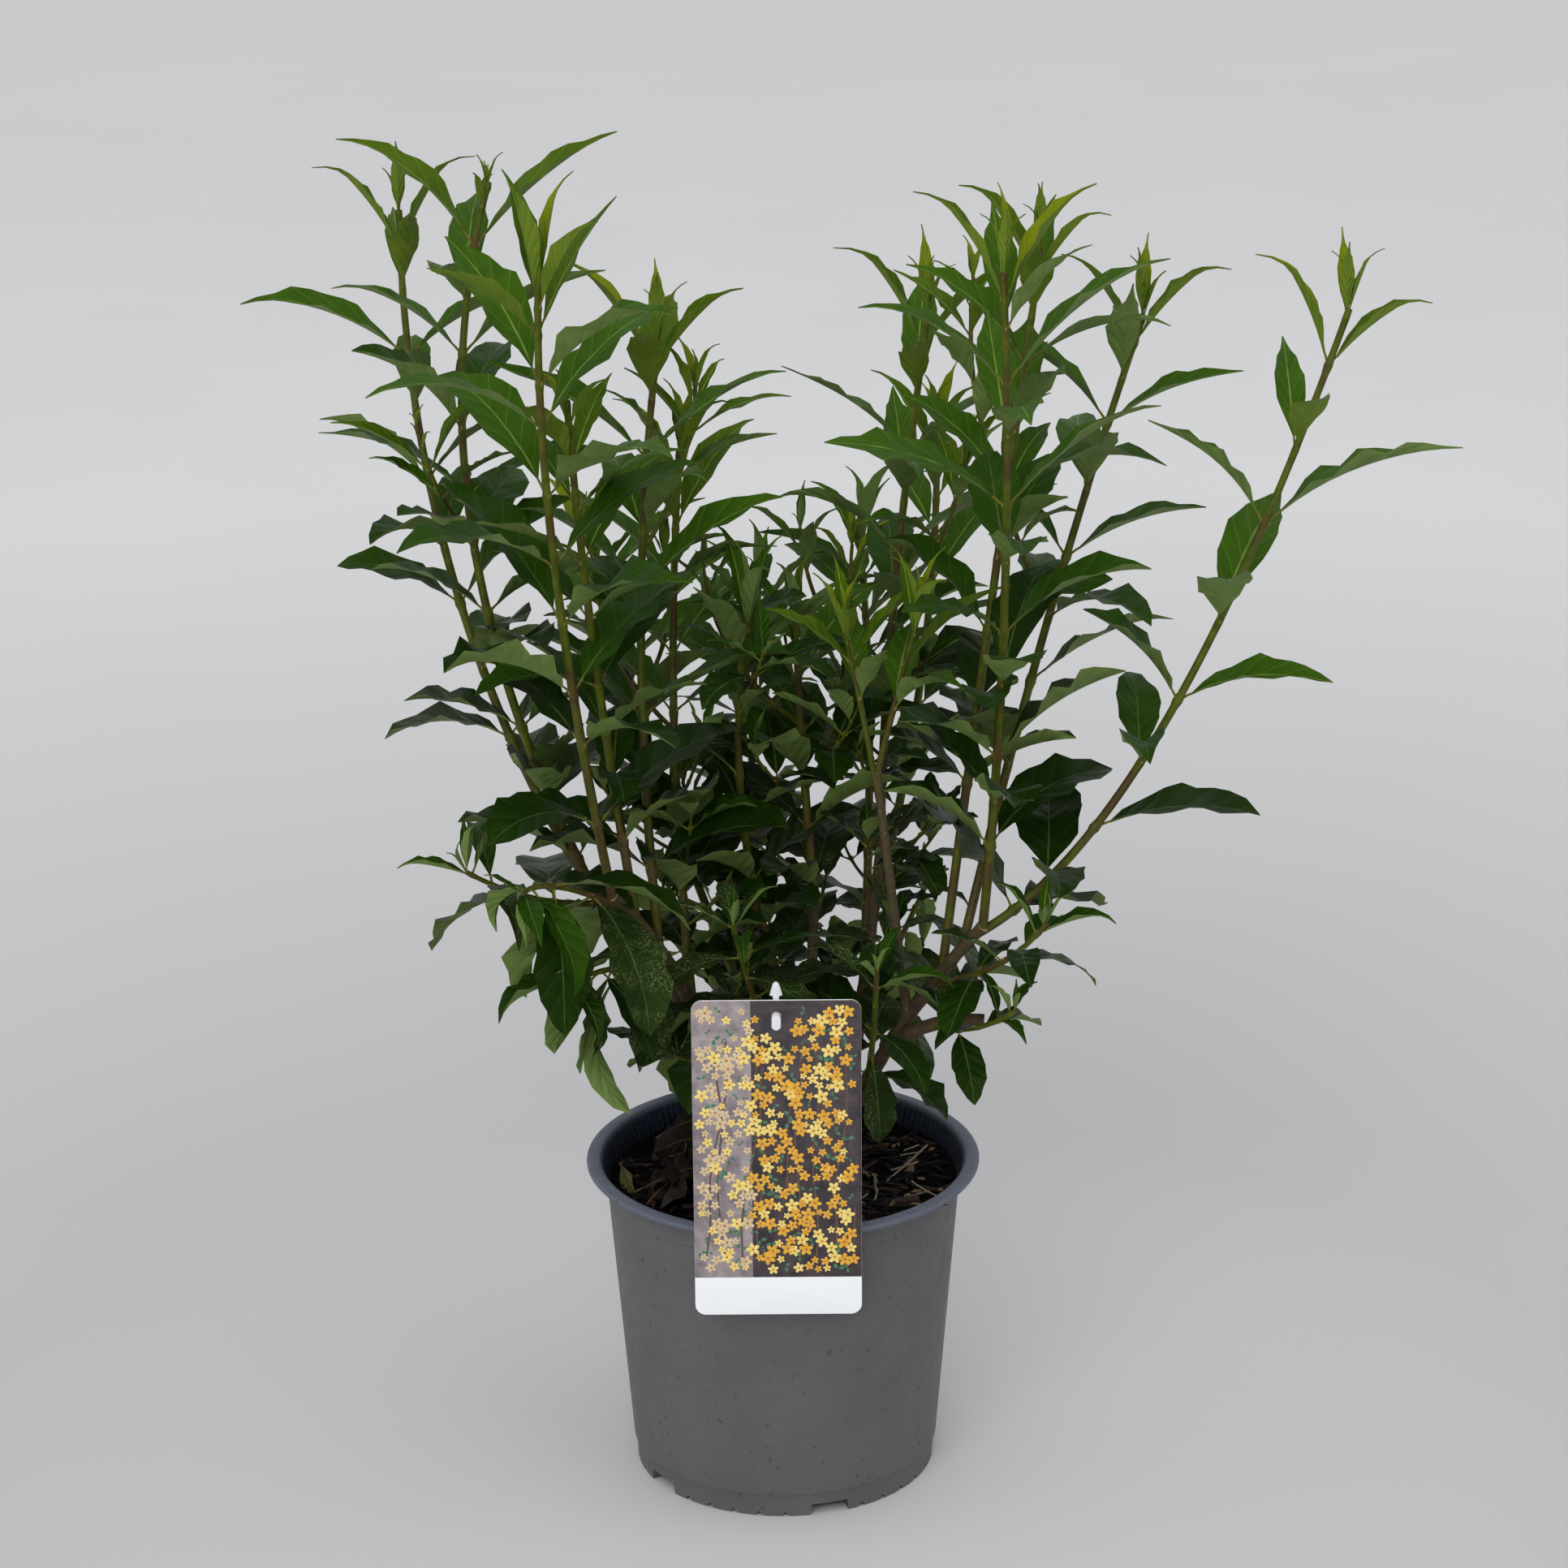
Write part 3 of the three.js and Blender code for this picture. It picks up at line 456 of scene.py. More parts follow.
bpy.ops.mesh.primitive_circle_add(vertices=POT_SIDES, radius=(MIX_RADIUS - 0.1) * MM,
                                  fill_type="NGON", location=(0, 0, MIX_TOP * MM))
mix = bpy.context.object
start_edit(mix)
for _ in range(MIX_RINGS):
    bpy.ops.mesh.inset(thickness=RING_STEP * MM, depth=0)
bpy.ops.mesh.poke()
pick(mix, "edges", lambda p: hypot(p.x, p.y) > MIX_RADIUS - 0.5)
extrude_ring(MIX_RADIUS, MIX_TOP, MIX_FOOT_RADIUS, MIX_FOOT)
bpy.ops.mesh.edge_face_add()
end_edit()
rest_place(mix)
for corner in mix.data.vertices:
    x, y, z = corner.co / MM
    if z > MIX_TOP - 1:
        corner.co.z = mix_height(x, y) * MM
smooth_over(mix, 50)

peat = Finish("peat", 0.95, 0.05)
peat.color(peat.two_tone((4, 3, 4), (18, 13, 13), 240, 6, 0.7))
peat.lay(peat.patches(620, 0.66, 0.74, 0, 0.5), (84, 68, 54))
peat.relief(peat.cloud(700, 5, 0.7), 0.9, 0.0015)
coat(mix.data, peat)
fix(mix, "potting_mix_bed", "potting_mix", "potting_mix")

# Loose bits: crumbs, bark chips and straws, each a rough little block or strip laid on the bed.
# CHUNKS are the largest chips: place, length, width, thickness and turn.
CHIPS = 620
STRAWS = 30
STRAW_STEPS = 6
CHUNKS = [(58, -34, 15, 5, 4, 0.5), (38, -62, 14, 4, 3, 2.2), (62, 6, 9, 5, 5, 1.3),
          (-58, 22, 12, 5, 4, 2.6), (44, 30, 16, 3, 3, 0.2), (70, -18, 17, 3, 2, 2.9)]
BLOCK = [(0, 3, 2, 1), (4, 5, 6, 7), (0, 1, 5, 4), (1, 2, 6, 5), (2, 3, 7, 6), (3, 0, 4, 7)]
BLOCK_CORNERS = [(x, y, z) for z in (-1, 1) for x, y in ((-1, -1), (1, -1), (1, 1), (-1, 1))]


def bark_finish(name, dark, light):
    chip = Finish(name, 0.85, 0.15)
    chip.color(chip.two_tone(dark, light, 900, 4, 0.65))
    chip.relief(chip.cloud(1600), 0.5, 0.0004)
    return chip


def on_mix(margin, draw):
    """A place on the mix at random, at least the margin in from the pot."""
    reach, turn = (wall_radius(MIX_TOP) - margin) * sqrt(draw()), tau * draw()
    return reach * cos(turn), reach * sin(turn)


def rough_block(size, least, more, draw):
    """A block's eight corners, each as far out as chance has it."""
    return [[sign * full * (least + more * draw()) for sign, full in zip(corner, size)]
            for corner in BLOCK_CORNERS]


def laid(x, y, angle, tilt, lift, points):
    """Turns a small shape, given in its own frame, and lays it on the bed."""
    c, s = cos(angle), sin(angle)
    ct, st = cos(tilt), sin(tilt)
    lying = []
    for along, beside, up in points:
        along, up = along * ct - up * st, along * st + up * ct
        lying.append((x + along * c - beside * s, y + along * s + beside * c,
                      mix_height(x, y) + lift + up))
    return lying


bits = Shape()
draw = stream(71)
for _ in range(CHIPS):
    x, y = on_mix(6, draw)
    coarse = 1.1 + 0.8 * max(0, x / LIP_RADIUS) + 0.4 * draw()
    length = (2 + 14 * draw() ** 3) * coarse
    width = (0.5 + draw()) * coarse
    thick = 0.6 + 0.9 * draw()
    block = rough_block((length / 2, width / 2, thick / 2), 0.65, 0.5, draw)
    lying = laid(x, y, pi * draw(), 0.7 * (draw() - 0.5), 0.3 + 0.9 * draw(), block)
    tone = draw()
    bits.add(lying, BLOCK, 0 if tone < 0.72 else 1 if tone < 0.95 else 2)
for x, y, length, width, thick, angle in CHUNKS:
    block = rough_block((length, width, thick), 0.35, 0.25, draw)
    lying = laid(x, y, angle, 0.25 * (draw() - 0.5), 0.4 * thick, block)
    bits.add(lying, BLOCK, [1, 1, 1, 1, 1, 2])
# Each straw's place, length, thickness, bend, turn, tilt and height over the bed.
straws = [(60, 2, 31, 0.6, 0.06, 0.75, 0.36, 5.5), (59, 1, 14, 0.5, 0, 0.15, 0.25, 5)]
for i in range(STRAWS):
    x, y = on_mix(14, draw)
    length, thick = 7 + 20 * draw() ** 2, 0.35 + 0.35 * draw()
    straws.append((abs(x) if i % 3 else x, y, length, thick, 0.35 * (draw() - 0.5),
                   tau * draw(), 0.3 * (draw() - 0.5), 1 + 1.2 * draw()))
for x, y, length, thick, bend, turn, tilt, lift in straws:
    rod = []
    for k in range(STRAW_STEPS + 1):
        along = (k / STRAW_STEPS - 0.5) * length
        sway = bend * (along * along / length)
        for a in (0, tau / 3, 2 * tau / 3):
            rod.append((along, sway + thick * cos(a), thick * sin(a)))
    bits.add(laid(x, y, turn, tilt, lift, rod), sleeve(STRAW_STEPS + 1, 3, flipped=True), 3)
litter = bits.piece("bits", bark_finish("chip_dark", (8, 6, 7), (25, 18, 17)),
                    bark_finish("chip_brown", (34, 24, 22), (70, 51, 44)),
                    bark_finish("chip_pale", (104, 82, 60), (158, 132, 98)),
                    bark_finish("straw", (112, 104, 88), (164, 156, 138)))
fix(litter, "bark_chips", "potting_mix")

# --- Label ---------------------------------------------------------------------------------------
# A thin stiff plastic card with rounded corners and an oval hole near its top, printed in flat
# colours: a plain scatter of yellow rosettes on a dark ground, with a bare white strip below.

LABEL_WIDTH = 77.5
LABEL_HEIGHT = 157
LABEL_CORNER = 5
LABEL_THICKNESS = 0.8
LABEL_X = -2.5
LABEL_FOOT = 118
LABEL_TOP = LABEL_FOOT + LABEL_HEIGHT
LABEL_LEFT = LABEL_X - LABEL_WIDTH / 2
LABEL_BACK = -95.3
LABEL_FRONT = LABEL_BACK - LABEL_THICKNESS
PEG_Z = LABEL_TOP - 10
HOLE_RADIUS, HOLE_STRETCH, HOLE_CLEAR = 2.6, 1.8, 6.5
STRIP_TOP = LABEL_FOOT + 19
BAND_EDGE = LABEL_LEFT + 27


def round_edges(piece, width, angle):
    """Rounds the edges where the active piece turns by more than the angle."""
    edge = piece.modifiers.new("edge", "BEVEL")
    edge.width, edge.segments = width * MM, 2
    edge.limit_method, edge.angle_limit = "ANGLE", radians(angle)
    bpy.ops.object.modifier_apply(modifier=edge.name)


middle = Vector((LABEL_X, LABEL_FRONT, LABEL_FOOT + LABEL_HEIGHT / 2)) * MM
bpy.ops.mesh.primitive_plane_add(size=1, location=middle, rotation=(pi / 2, 0, 0))
card = bpy.context.object
card.scale = (LABEL_WIDTH * MM, LABEL_HEIGHT * MM, 1)
rest_place(card)
start_edit(card)
bpy.ops.mesh.bevel(offset=LABEL_CORNER * MM, segments=7, affect="VERTICES")
bpy.ops.mesh.select_all(action="SELECT")
bpy.ops.mesh.extrude_region_move(TRANSFORM_OT_translate={"value": (0, LABEL_THICKNESS * MM, 0)})
bpy.ops.mesh.select_all(action="SELECT")
bpy.ops.mesh.normals_make_consistent(inside=False)
end_edit()
bpy.ops.mesh.primitive_cylinder_add(vertices=32, radius=HOLE_RADIUS * MM, depth=6 * MM,
                                    location=(LABEL_X * MM, LABEL_BACK * MM, PEG_Z * MM),
                                    rotation=(pi / 2, 0, 0))
hole = bpy.context.object
rest_place(hole)
start_edit(hole)
for way in (1, -1):
    pick(hole, "vertices", lambda p: way * (p.z - PEG_Z) > 0.01)
    bpy.ops.transform.translate(value=(0, 0, way * HOLE_STRETCH * MM))
end_edit()
cut_away(card, hole)
round_edges(card, 0.18, 30)
start_edit(card)
bpy.ops.mesh.bisect(plane_co=(0, 0, STRIP_TOP * MM), plane_no=(0, 0, 1))
bpy.ops.mesh.select_all(action="SELECT")
bpy.ops.mesh.bisect(plane_co=(BAND_EDGE * MM, 0, 0), plane_no=(1, 0, 0))
end_edit()


def card_finish(name, first, second, scale, roughness=0.28):
    """Print on gloss plastic: two near tones that run into each other."""
    ink = Finish(name, roughness)
    ink.color(ink.two_tone(first, second, scale, 4, 0.6))
    ink.relief(ink.cloud(2500, 2), 0.05, 0.0002)
    ink.set("Coat Weight", 0.25)
    return ink


coat(card.data, card_finish("card_white", (252, 254, 255), (247, 250, 255), 60),
     card_finish("ground_ink", (34, 28, 34), (70, 57, 60), 160),
     card_finish("band_ink", (116, 106, 112), (164, 152, 152), 130))
for face in card.data.polygons:
    x, y, z = face.center / MM
    if face.normal.y < -0.9 and z > STRIP_TOP:
        face.material_index = 2 if x < BAND_EDGE else 1
smooth_over(card, 30)
fix(card, "label_card", "label", "label")

# The rosettes: five round petals about an eye, in staggered rows, with little leaves and twigs
# between them, all raised a hair above the card as thick ink is.
INK = 0.22
SUNK_INK = 0.05
ROW_STEP, COLUMN_STEP, COLUMNS_PRINTED = 5.3 * 0.86, 5.3 * 0.94, 16
PRINT_SCATTER = 2.4
RIM = 8
FAN = [face for k in range(RIM) for face in ([k, (k + 1) % RIM, RIM], [(k + 1) % RIM, k, RIM + 1])]
PRINTED_TWIGS, TWIG_PARTS = 9, 8
BAR = [[0, 2, 4, 6], [7, 5, 3, 1], [0, 1, 3, 2], [2, 3, 5, 4], [4, 5, 7, 6], [6, 7, 1, 0]]


def petal_points(x, z, angle, radius, lift):
    """One round petal: its rim, its raised middle in front and its sunk middle behind."""
    cx, cz = x + 0.56 * radius * cos(angle), z + 0.56 * radius * sin(angle)
    rim = []
    for k in range(RIM):
        long, wide = 0.46 * radius * cos(k * tau / RIM), 0.3 * radius * sin(k * tau / RIM)
        rim.append((cx + long * cos(angle) - wide * sin(angle), LABEL_FRONT - lift * 0.3,
                    cz + long * sin(angle) + wide * cos(angle)))
    return rim + [(cx, LABEL_FRONT - lift, cz), (cx, LABEL_FRONT + SUNK_INK, cz)]


def in_card(x, z, margin):
    inside = abs(x - LABEL_X) < LABEL_WIDTH / 2 - margin
    clear = hypot(x - LABEL_X, z - PEG_Z) > HOLE_CLEAR + margin
    return inside and clear and STRIP_TOP + margin < z < LABEL_TOP - margin


draw = stream(5)
picture = Shape()
for k in range(PRINTED_TWIGS):
    foot = LABEL_LEFT + (k + 0.5) / PRINTED_TWIGS * LABEL_WIDTH
    lean = 0.25 * (draw() - 0.5)
    low, high = STRIP_TOP + 6 + 18 * draw(), LABEL_TOP - 8 - 26 * draw()
    course = []
    for j in range(TWIG_PARTS + 1):
        z = low + (high - low) * j / TWIG_PARTS
        course.append((foot + lean * (z - low) + 1.5 * sin(0.09 * z + k), z))
    for (xa, za), (xb, zb) in zip(course, course[1:]):
        if in_card(xa, za, 2.5) and in_card(xb, zb, 2.5):
            ends = ((xa - 0.45, za), (xa + 0.45, za), (xb + 0.4, zb), (xb - 0.4, zb))
            bar = [(x, y, z) for x, z in ends for y in (LABEL_FRONT - 0.06, LABEL_FRONT + SUNK_INK)]
            picture.add(bar, BAR, 5)
for row in range(int(LABEL_HEIGHT / ROW_STEP) + 1):
    for column in range(COLUMNS_PRINTED):
        x = LABEL_LEFT + (column + 0.5 * (row % 2)) * COLUMN_STEP + PRINT_SCATTER * (draw() - 0.5)
        z = STRIP_TOP + row * ROW_STEP + PRINT_SCATTER * (draw() - 0.5)
        kind, size, spin = draw(), 1.7 + 1.9 * draw(), tau * draw()
        drift = noise.noise(Vector((x / 15, z / 15, 2.4)))
        if not in_card(x, z, size + 0.4) or drift < -0.3 - 0.6 * draw() or kind > 0.9:
            continue
        if kind < 0.2:
            for leaf in range(2):
                picture.add(petal_points(x, z, spin + 2.2 * leaf, size * 0.9, INK * 0.6), FAN, 4)
            continue
        tone = (2 if kind < 0.66 else 1) if x < BAND_EDGE else (0 if kind < 0.6 else 1)
        for petal in range(5):
            lift = INK * (0.8 + 0.1 * petal)
            picture.add(petal_points(x, z, spin + petal * tau / 5, size, lift), FAN, tone)
        eye = [(x + 0.17 * size * cos(a), LABEL_FRONT - INK * 0.8, z + 0.17 * size * sin(a))
               for a in np.linspace(0, tau, RIM, endpoint=False)]
        picture.add(eye + [(x, LABEL_FRONT - 1.7 * INK, z), (x, LABEL_FRONT, z)], FAN, 3)
rosettes = picture.piece("rosettes",
                         card_finish("petal_gold", (236, 184, 56), (218, 152, 34), 500, 0.35),
                         card_finish("petal_lemon", (246, 226, 138), (236, 200, 92), 500, 0.35),
                         card_finish("petal_pale", (222, 200, 160), (206, 178, 132), 500, 0.35),
                         card_finish("eye_amber", (160, 96, 28), (186, 120, 40), 500, 0.4),
                         card_finish("print_leaf", (72, 132, 96), (52, 104, 70), 400, 0.35),
                         card_finish("print_twig", (104, 72, 62), (84, 56, 50), 400, 0.4))
fix(rosettes, "label_rosettes", "label")

# --- Label stake ---------------------------------------------------------------------------------
# A narrow strip of white plastic, moulded in one piece and pushed down into the mix. It has a head
# like an arrow's, and a peg that the card hangs on by its hole.

stake = bpy.data.objects.new("stake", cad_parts["label_stake"].data.copy())
bpy.context.scene.collection.objects.link(stake)
start_edit(stake)
bpy.ops.mesh.remove_doubles(threshold=0.02 * MM)
bpy.ops.mesh.dissolve_limited(angle_limit=radians(2))
end_edit()
round_edges(stake, 0.3, 35)
smooth_over(stake, 35)
moulded = Finish("stake_plastic", 0.32)
moulded.color(moulded.two_tone((236, 237, 240), (220, 222, 226), 90))
moulded.relief(moulded.cloud(900, 2), 0.08, 0.0003)
moulded.set("Subsurface Weight", 0.1)
moulded.set("Subsurface Radius", (0.002, 0.002, 0.002))
stake.data.materials.clear()
coat(stake.data, moulded)
fix(stake, "label_stake_moulded", "stake", "label_stake")

# --- Boughs --------------------------------------------------------------------------------------
# The woody stems: brown bark with fine ridges, raised pores and a swollen joint at each old pair of
# leaves. They rise from the mix, or fork from another bough with a collar about their foot.

# Each bough's name, what it grows from and where on that, its knee, its tip, and its radii.
BOUGHS = [
    ("left_bough", "mix", (-12, 0, 135), (-42, -17, 240), (-78, -45, 307), (4.4, 2.7)),
    ("right_bough", "mix", (14, 0, 135), (50, -17, 219), (94, -40, 289), (4.1, 2.7)),
    ("left_back_bough", "left_bough", 0.45, (-68, 2, 264), (-101, 15, 308), (3.2, 2.3)),
    ("middle_bough", "mix", (3, 16, 135), (12, 19, 210), (16, 15, 282), (3.6, 2.2)),
    ("right_back_bough", "mix", (25, 22, 135), (38, 34, 215), (48, 38, 299), (3.8, 2.4)),
    ("back_bough", "mix", (-6, 40, 135), (-8, 56, 195), (-14, 84, 250), (3.6, 2.2)),
    ("forked_bough", "right_bough", 0.62, (52, -27, 300), (45, -30, 362), (2.4, 1.9)),
    ("cut_stub", "right_bough", 0.5, (70, -33, 237), (95, -40, 242), (3.4, 3)),
]
BOUGH_SIDES = 20
BOUGH_STEP = 1.6
FLARE, COLLAR = 1.6, 1.1
SUNK = 6
JOINT_STEP = 27


def bow(foot, knee, tip):
    """A quadratic curve that passes the knee halfway, as its three corners."""
    foot, knee, tip = (np.array(p, dtype=float) for p in (foot, knee, tip))
    return np.array([foot, 2 * knee - 0.5 * foot - 0.5 * tip, tip])


def point_at(curve, t):
    t = np.asarray(t, dtype=float)[..., None]
    return (1 - t) ** 2 * curve[0] + 2 * (1 - t) * t * curve[1] + t * t * curve[2]


def unit(vectors):
    return vectors / np.linalg.norm(vectors, axis=-1, keepdims=True)


def tangent_at(curve, t):
    t = np.asarray(t, dtype=float)
    return unit(point_at(curve, np.minimum(1, t + 1e-4)) - point_at(curve, np.maximum(0, t - 1e-4)))


def length_of(curve):
    points = point_at(curve, np.linspace(0, 1, 201))
    return float(np.linalg.norm(np.diff(points, axis=0), axis=1).sum())


def about(curve, t):
    """A stem's own direction and the two square to it, the first of them nearest to +X."""
    forward = tangent_at(curve, t)
    right = unit(np.array([1.0, 0, 0]) - forward * forward[..., :1])
    return forward, right, np.cross(forward, right)


def tube(curve, places, radius_at, sides):
    """A closed round shape along a curve. radius_at gives each ring's radii from place and turn."""
    turns = np.arange(sides) * tau / sides
    middles = point_at(curve, places)
    _, right, back = about(curve, places)
    radii = radius_at(places[:, None], turns[None, :])
    c, s = np.cos(turns)[None, :, None], np.sin(turns)[None, :, None]
    points = middles[:, None] + radii[..., None] * (c * right[:, None] + s * back[:, None])
    return points.reshape(-1, 3), sleeve(len(places), sides)


bark = Finish("bark", 0.82)
bark.color(bark.two_tone((52, 39, 24), (86, 67, 42), 160, 5, 0.65))
bark.lay(bark.spread(bark.height(), 0.2, 0.32, 0, 0.45), (78, 72, 34))
bark.lay(bark.patches(700, 0.64, 0.72, 0, 0.8, detail=2), (128, 106, 76))
cracks = bark.patches(420, 0.42, 0.34, 0, 0.7, detail=5, roughness=0.7, distortion=0.8)
bark.lay(cracks, (40, 30, 22))
bark.relief(bark.cloud(800, 5, 0.7), 0.6, 0.0006)
cut_wood = Finish("cut_wood", 0.8)
cut_wood.color(cut_wood.two_tone((150, 124, 88), (196, 172, 130), 1200))
cut_wood.relief(cut_wood.cloud(2400, 2), 0.3, 0.0003)


def bark_radius(radii, rooted, length, seed):
    joints = np.arange(0.6 * JOINT_STEP, length, JOINT_STEP) / length

    def radius_at(t, turn):
        foot = FLARE * (1 - np.clip(t, 0, 1)) ** 9 if rooted else COLLAR * np.exp(-t * length / 4)
        radius = radii[0] + (radii[1] - radii[0]) * t + foot + 0 * turn
        for i, joint in enumerate(joints):
            near = np.exp(-(((t - joint) * length / 2.4) ** 2))
            faced = 0.4 + 0.6 * np.cos(turn + i * pi / 2 + seed) ** 2
            radius = radius + 0.14 * radius * near * faced
        rough = np.empty(np.broadcast(t, turn).shape)
        for index in np.ndindex(rough.shape):
            along, a = float(t[index[0], 0]) * length, float(turn[0, index[1]])
            ridge = noise.noise(Vector((3 * cos(a), 3 * sin(a), along / 9 + 7 * seed)))
            pore = noise.noise(Vector((6 * cos(a), 6 * sin(a), along / 1.9 + 3 * seed)))
            rough[index] = 0.2 * ridge + 0.5 * max(0, pore - 0.28)
        return radius + rough

    return radius_at


stems = {}
for seed, (name, base, foot, knee, tip, radii) in enumerate(BOUGHS):
    rooted = base == "mix"
    curve = bow(foot if rooted else point_at(stems[base], foot), knee, tip)
    stems[name] = curve
    length = length_of(curve)
    first = -SUNK / length if rooted else 0
    places = np.linspace(first, 1, int(length * (1 - first) / BOUGH_STEP))
    points, faces = tube(curve, places, bark_radius(radii, rooted, length, seed), BOUGH_SIDES)
    wood = Shape()
    wood.add(points, faces, [0] * (len(faces) - 1) + [1])
    limb = wood.piece(name, bark, cut_wood)
    smooth_over(limb, 50)
    fix(limb, name + "_bark", "bark", name)

# --- Growth --------------------------------------------------------------------------------------
# Green canes and low sprays grow on from the boughs. Their leaves stand in pairs, each pair
# crosswise to the one above, and a leaf that finds no room is left out.


def grows(name, bough, at, knee, tip, leaf, space, spin, **more):
    """A cane or spray: the bough it leaves and where, its knee and tip, the length of its leaves,
    the space between its pairs and the turn of the topmost. more can give bare, the share of it
    from the foot up that has no leaves; bud, the size of its youngest leaves; shoots, how many
    side shoots; radii; low, how far its leaves hang; and shaded, how much darker its leaves are
    in the heart of the shrub, partly as older leaves and partly as painted shade."""
    return {"name": name, "from": bough, "at": at, "knee": knee, "tip": tip, "leaf": leaf,
            "space": space, "spin": spin, **more}


CANES = [
    grows("left_front_cane", "left_bough", 1, (-99, -75, 473), (-102, -95, 605), 94, 30, 42),
    grows("left_outer_cane", "left_back_bough", 1, (-157, 45, 448), (-176, 75, 606), 74, 30, 96),
    grows("left_rear_cane", "left_back_bough", 0.86, (-142, 12, 468), (-130, 20, 629), 82, 31, 174,
          shoots=1, bud=0.4),
    grows("left_side_cane", "left_bough", 0.86, (-84, -42, 425), (-93, -55, 545), 68, 30, 60,
          bare=0.08, bud=0.7),
    grows("left_tall_cane", "left_bough", 0.72, (-64, 2, 421), (-54, 20, 555), 84, 32, 92,
          bare=0.06, shoots=1),
    grows("left_inner_cane", "left_bough", 0.5, (-50, 25, 365), (-46, 55, 495), 76, 30, 50,
          bare=0.06, shoots=1),
    grows("centre_fork_left", "forked_bough", 0.8, (37, -34, 398), (30, -40, 432), 62, 24, 10,
          bare=0.3, radii=(1.5, 1.1)),
    grows("centre_fork_right", "forked_bough", 1, (55, -38, 405), (64, -48, 445), 66, 24, 20,
          bare=0.3, radii=(1.5, 1.1)),
    grows("centre_upright_cane", "middle_bough", 1, (11, 22, 353), (8, 32, 414), 74, 26, 55,
          shoots=2, shaded=0.7),
    grows("centre_left_cane", "middle_bough", 0.45, (-17, 10, 320), (-13, 0, 432), 80, 27, 25,
          bare=0.06, shoots=2, shaded=0.7),
    grows("centre_back_cane", "right_back_bough", 0.55, (44, 88, 340), (40, 128, 430), 76, 29, 35,
          bare=0.06, shoots=1, shaded=0.7),
    grows("right_back_cane", "right_back_bough", 1, (55, 52, 420), (71, 60, 556), 84, 31, 86,
          shoots=1),
    grows("right_front_cane", "right_bough", 1, (101, -72, 453), (98, -95, 609), 84, 30, 100,
          bare=0.08),
    grows("right_middle_cane", "right_bough", 0.8, (98, -18, 440), (119, -15, 602), 78, 31, 78,
          bare=0.18, shoots=1),
    grows("right_slanting_cane", "right_bough", 0.9, (127, 24, 420), (172, 58, 557), 80, 33, 88,
          bare=0.2, shoots=1),
    grows("right_arching_cane", "right_bough", 0.96, (174, -34, 380), (256, -30, 578), 86, 42, 90,
          bare=0.1),
    grows("back_left_cane", "back_bough", 0.45, (-60, 92, 320), (-92, 138, 425), 80, 29, 30,
          bare=0.06, shoots=1),
    grows("back_middle_cane", "back_bough", 1, (-14, 118, 320), (-10, 148, 400), 78, 27, 70,
          bare=0.04, shoots=1, shaded=0.7),
    grows("back_right_cane", "right_back_bough", 0.8, (70, 92, 375), (78, 128, 486), 78, 30, 50,
          bare=0.2, shoots=1),
    grows("left_low_spray", "left_bough", 0.9, (-100, -62, 318), (-118, -76, 320), 76, 25, 80,
          low=1),
    grows("left_hanging_spray", "left_bough", 0.66, (-76, -56, 276), (-98, -74, 276), 72, 23, 10,
          low=1),
    grows("left_back_spray", "left_back_bough", 0.75, (-116, 0, 290), (-148, -12, 308), 86, 28, 20,
          low=0.6),
    grows("right_low_spray", "right_bough", 0.75, (100, -56, 276), (122, -66, 300), 56, 21, 80,
          low=0.3),
    grows("right_hanging_spray", "cut_stub", 0.5, (90, -54, 244), (108, -64, 256), 48, 19, 20,
          low=0.35),
    grows("centre_low_spray", "middle_bough", 0.3, (-10, -22, 238), (-22, -54, 296), 64, 19, 10,
          bare=0.2, low=0.5),
    grows("centre_right_spray", "right_bough", 0.35, (42, -40, 226), (44, -64, 276), 62, 18, 60,
          bare=0.2, low=0.5),
    grows("back_low_spray", "back_bough", 0.5, (-34, 84, 212), (-56, 104, 232), 78, 20, 30,
          bare=0.15, low=1),
    grows("back_right_spray", "right_back_bough", 0.45, (60, 66, 246), (72, 90, 262), 68, 23, 0,
          bare=0.15, low=1),
]

# From the bud downwards: share of the grown length, angle from the stem, arch, width for length.
AGES = [(0.5, 11, 8, 0.2), (0.72, 24, 22, 0.2), (0.92, 34, 36, 0.21), (1, 40, 42, 0.22)]
OLDER = {"steps": 6, "shrink": 0.03, "arch": 1.5, "slim": 0.027}
HANGING = {"angle": 24, "arch": 20, "droop": 36, "slim": 0.07}
UPRIGHT = 0.5
FIRST_SPACE, MORE_SPACE, SPACE_SCATTER = 0.4, 0.2, 0.5
BUD_LENGTH = 3
TURNS = (0, 14, -14, 28, -28)
ROOM, CROWDED = 9, 3.5
SCATTER = {"turn": 16, "angle": 14, "length": 0.3, "arch": 0.6, "width": 0.25, "young": 24,
           "roll": 56}
RIB_STEPS = np.array([0.25, 0.4, 0.55, 0.7, 0.85, 1])
EDGE_STEPS = np.array([0.4, 0.55, 0.7])
SIXTHS = np.arange(1, 7) / 6
OFF_POT = 4
CARD_SIDE, CARD_BACK, CARD_TOP = 5, 18, 12
# Side shoots and fine twigs: their lengths, and how far up and out their knee and tip lie.
SHOOT = {"leaf": 0.62, "bare": 0.25, "lowest": 0.25, "spread": 0.4, "length": 60, "longer": 50,
         "course": ((0.4, 0.36), (0.9, 0.5))}
TWIG = {"leaf": 0.62, "bare": 0.3, "length": 26, "longer": 34, "course": ((0.3, 0.4), (0.7, 0.7))}


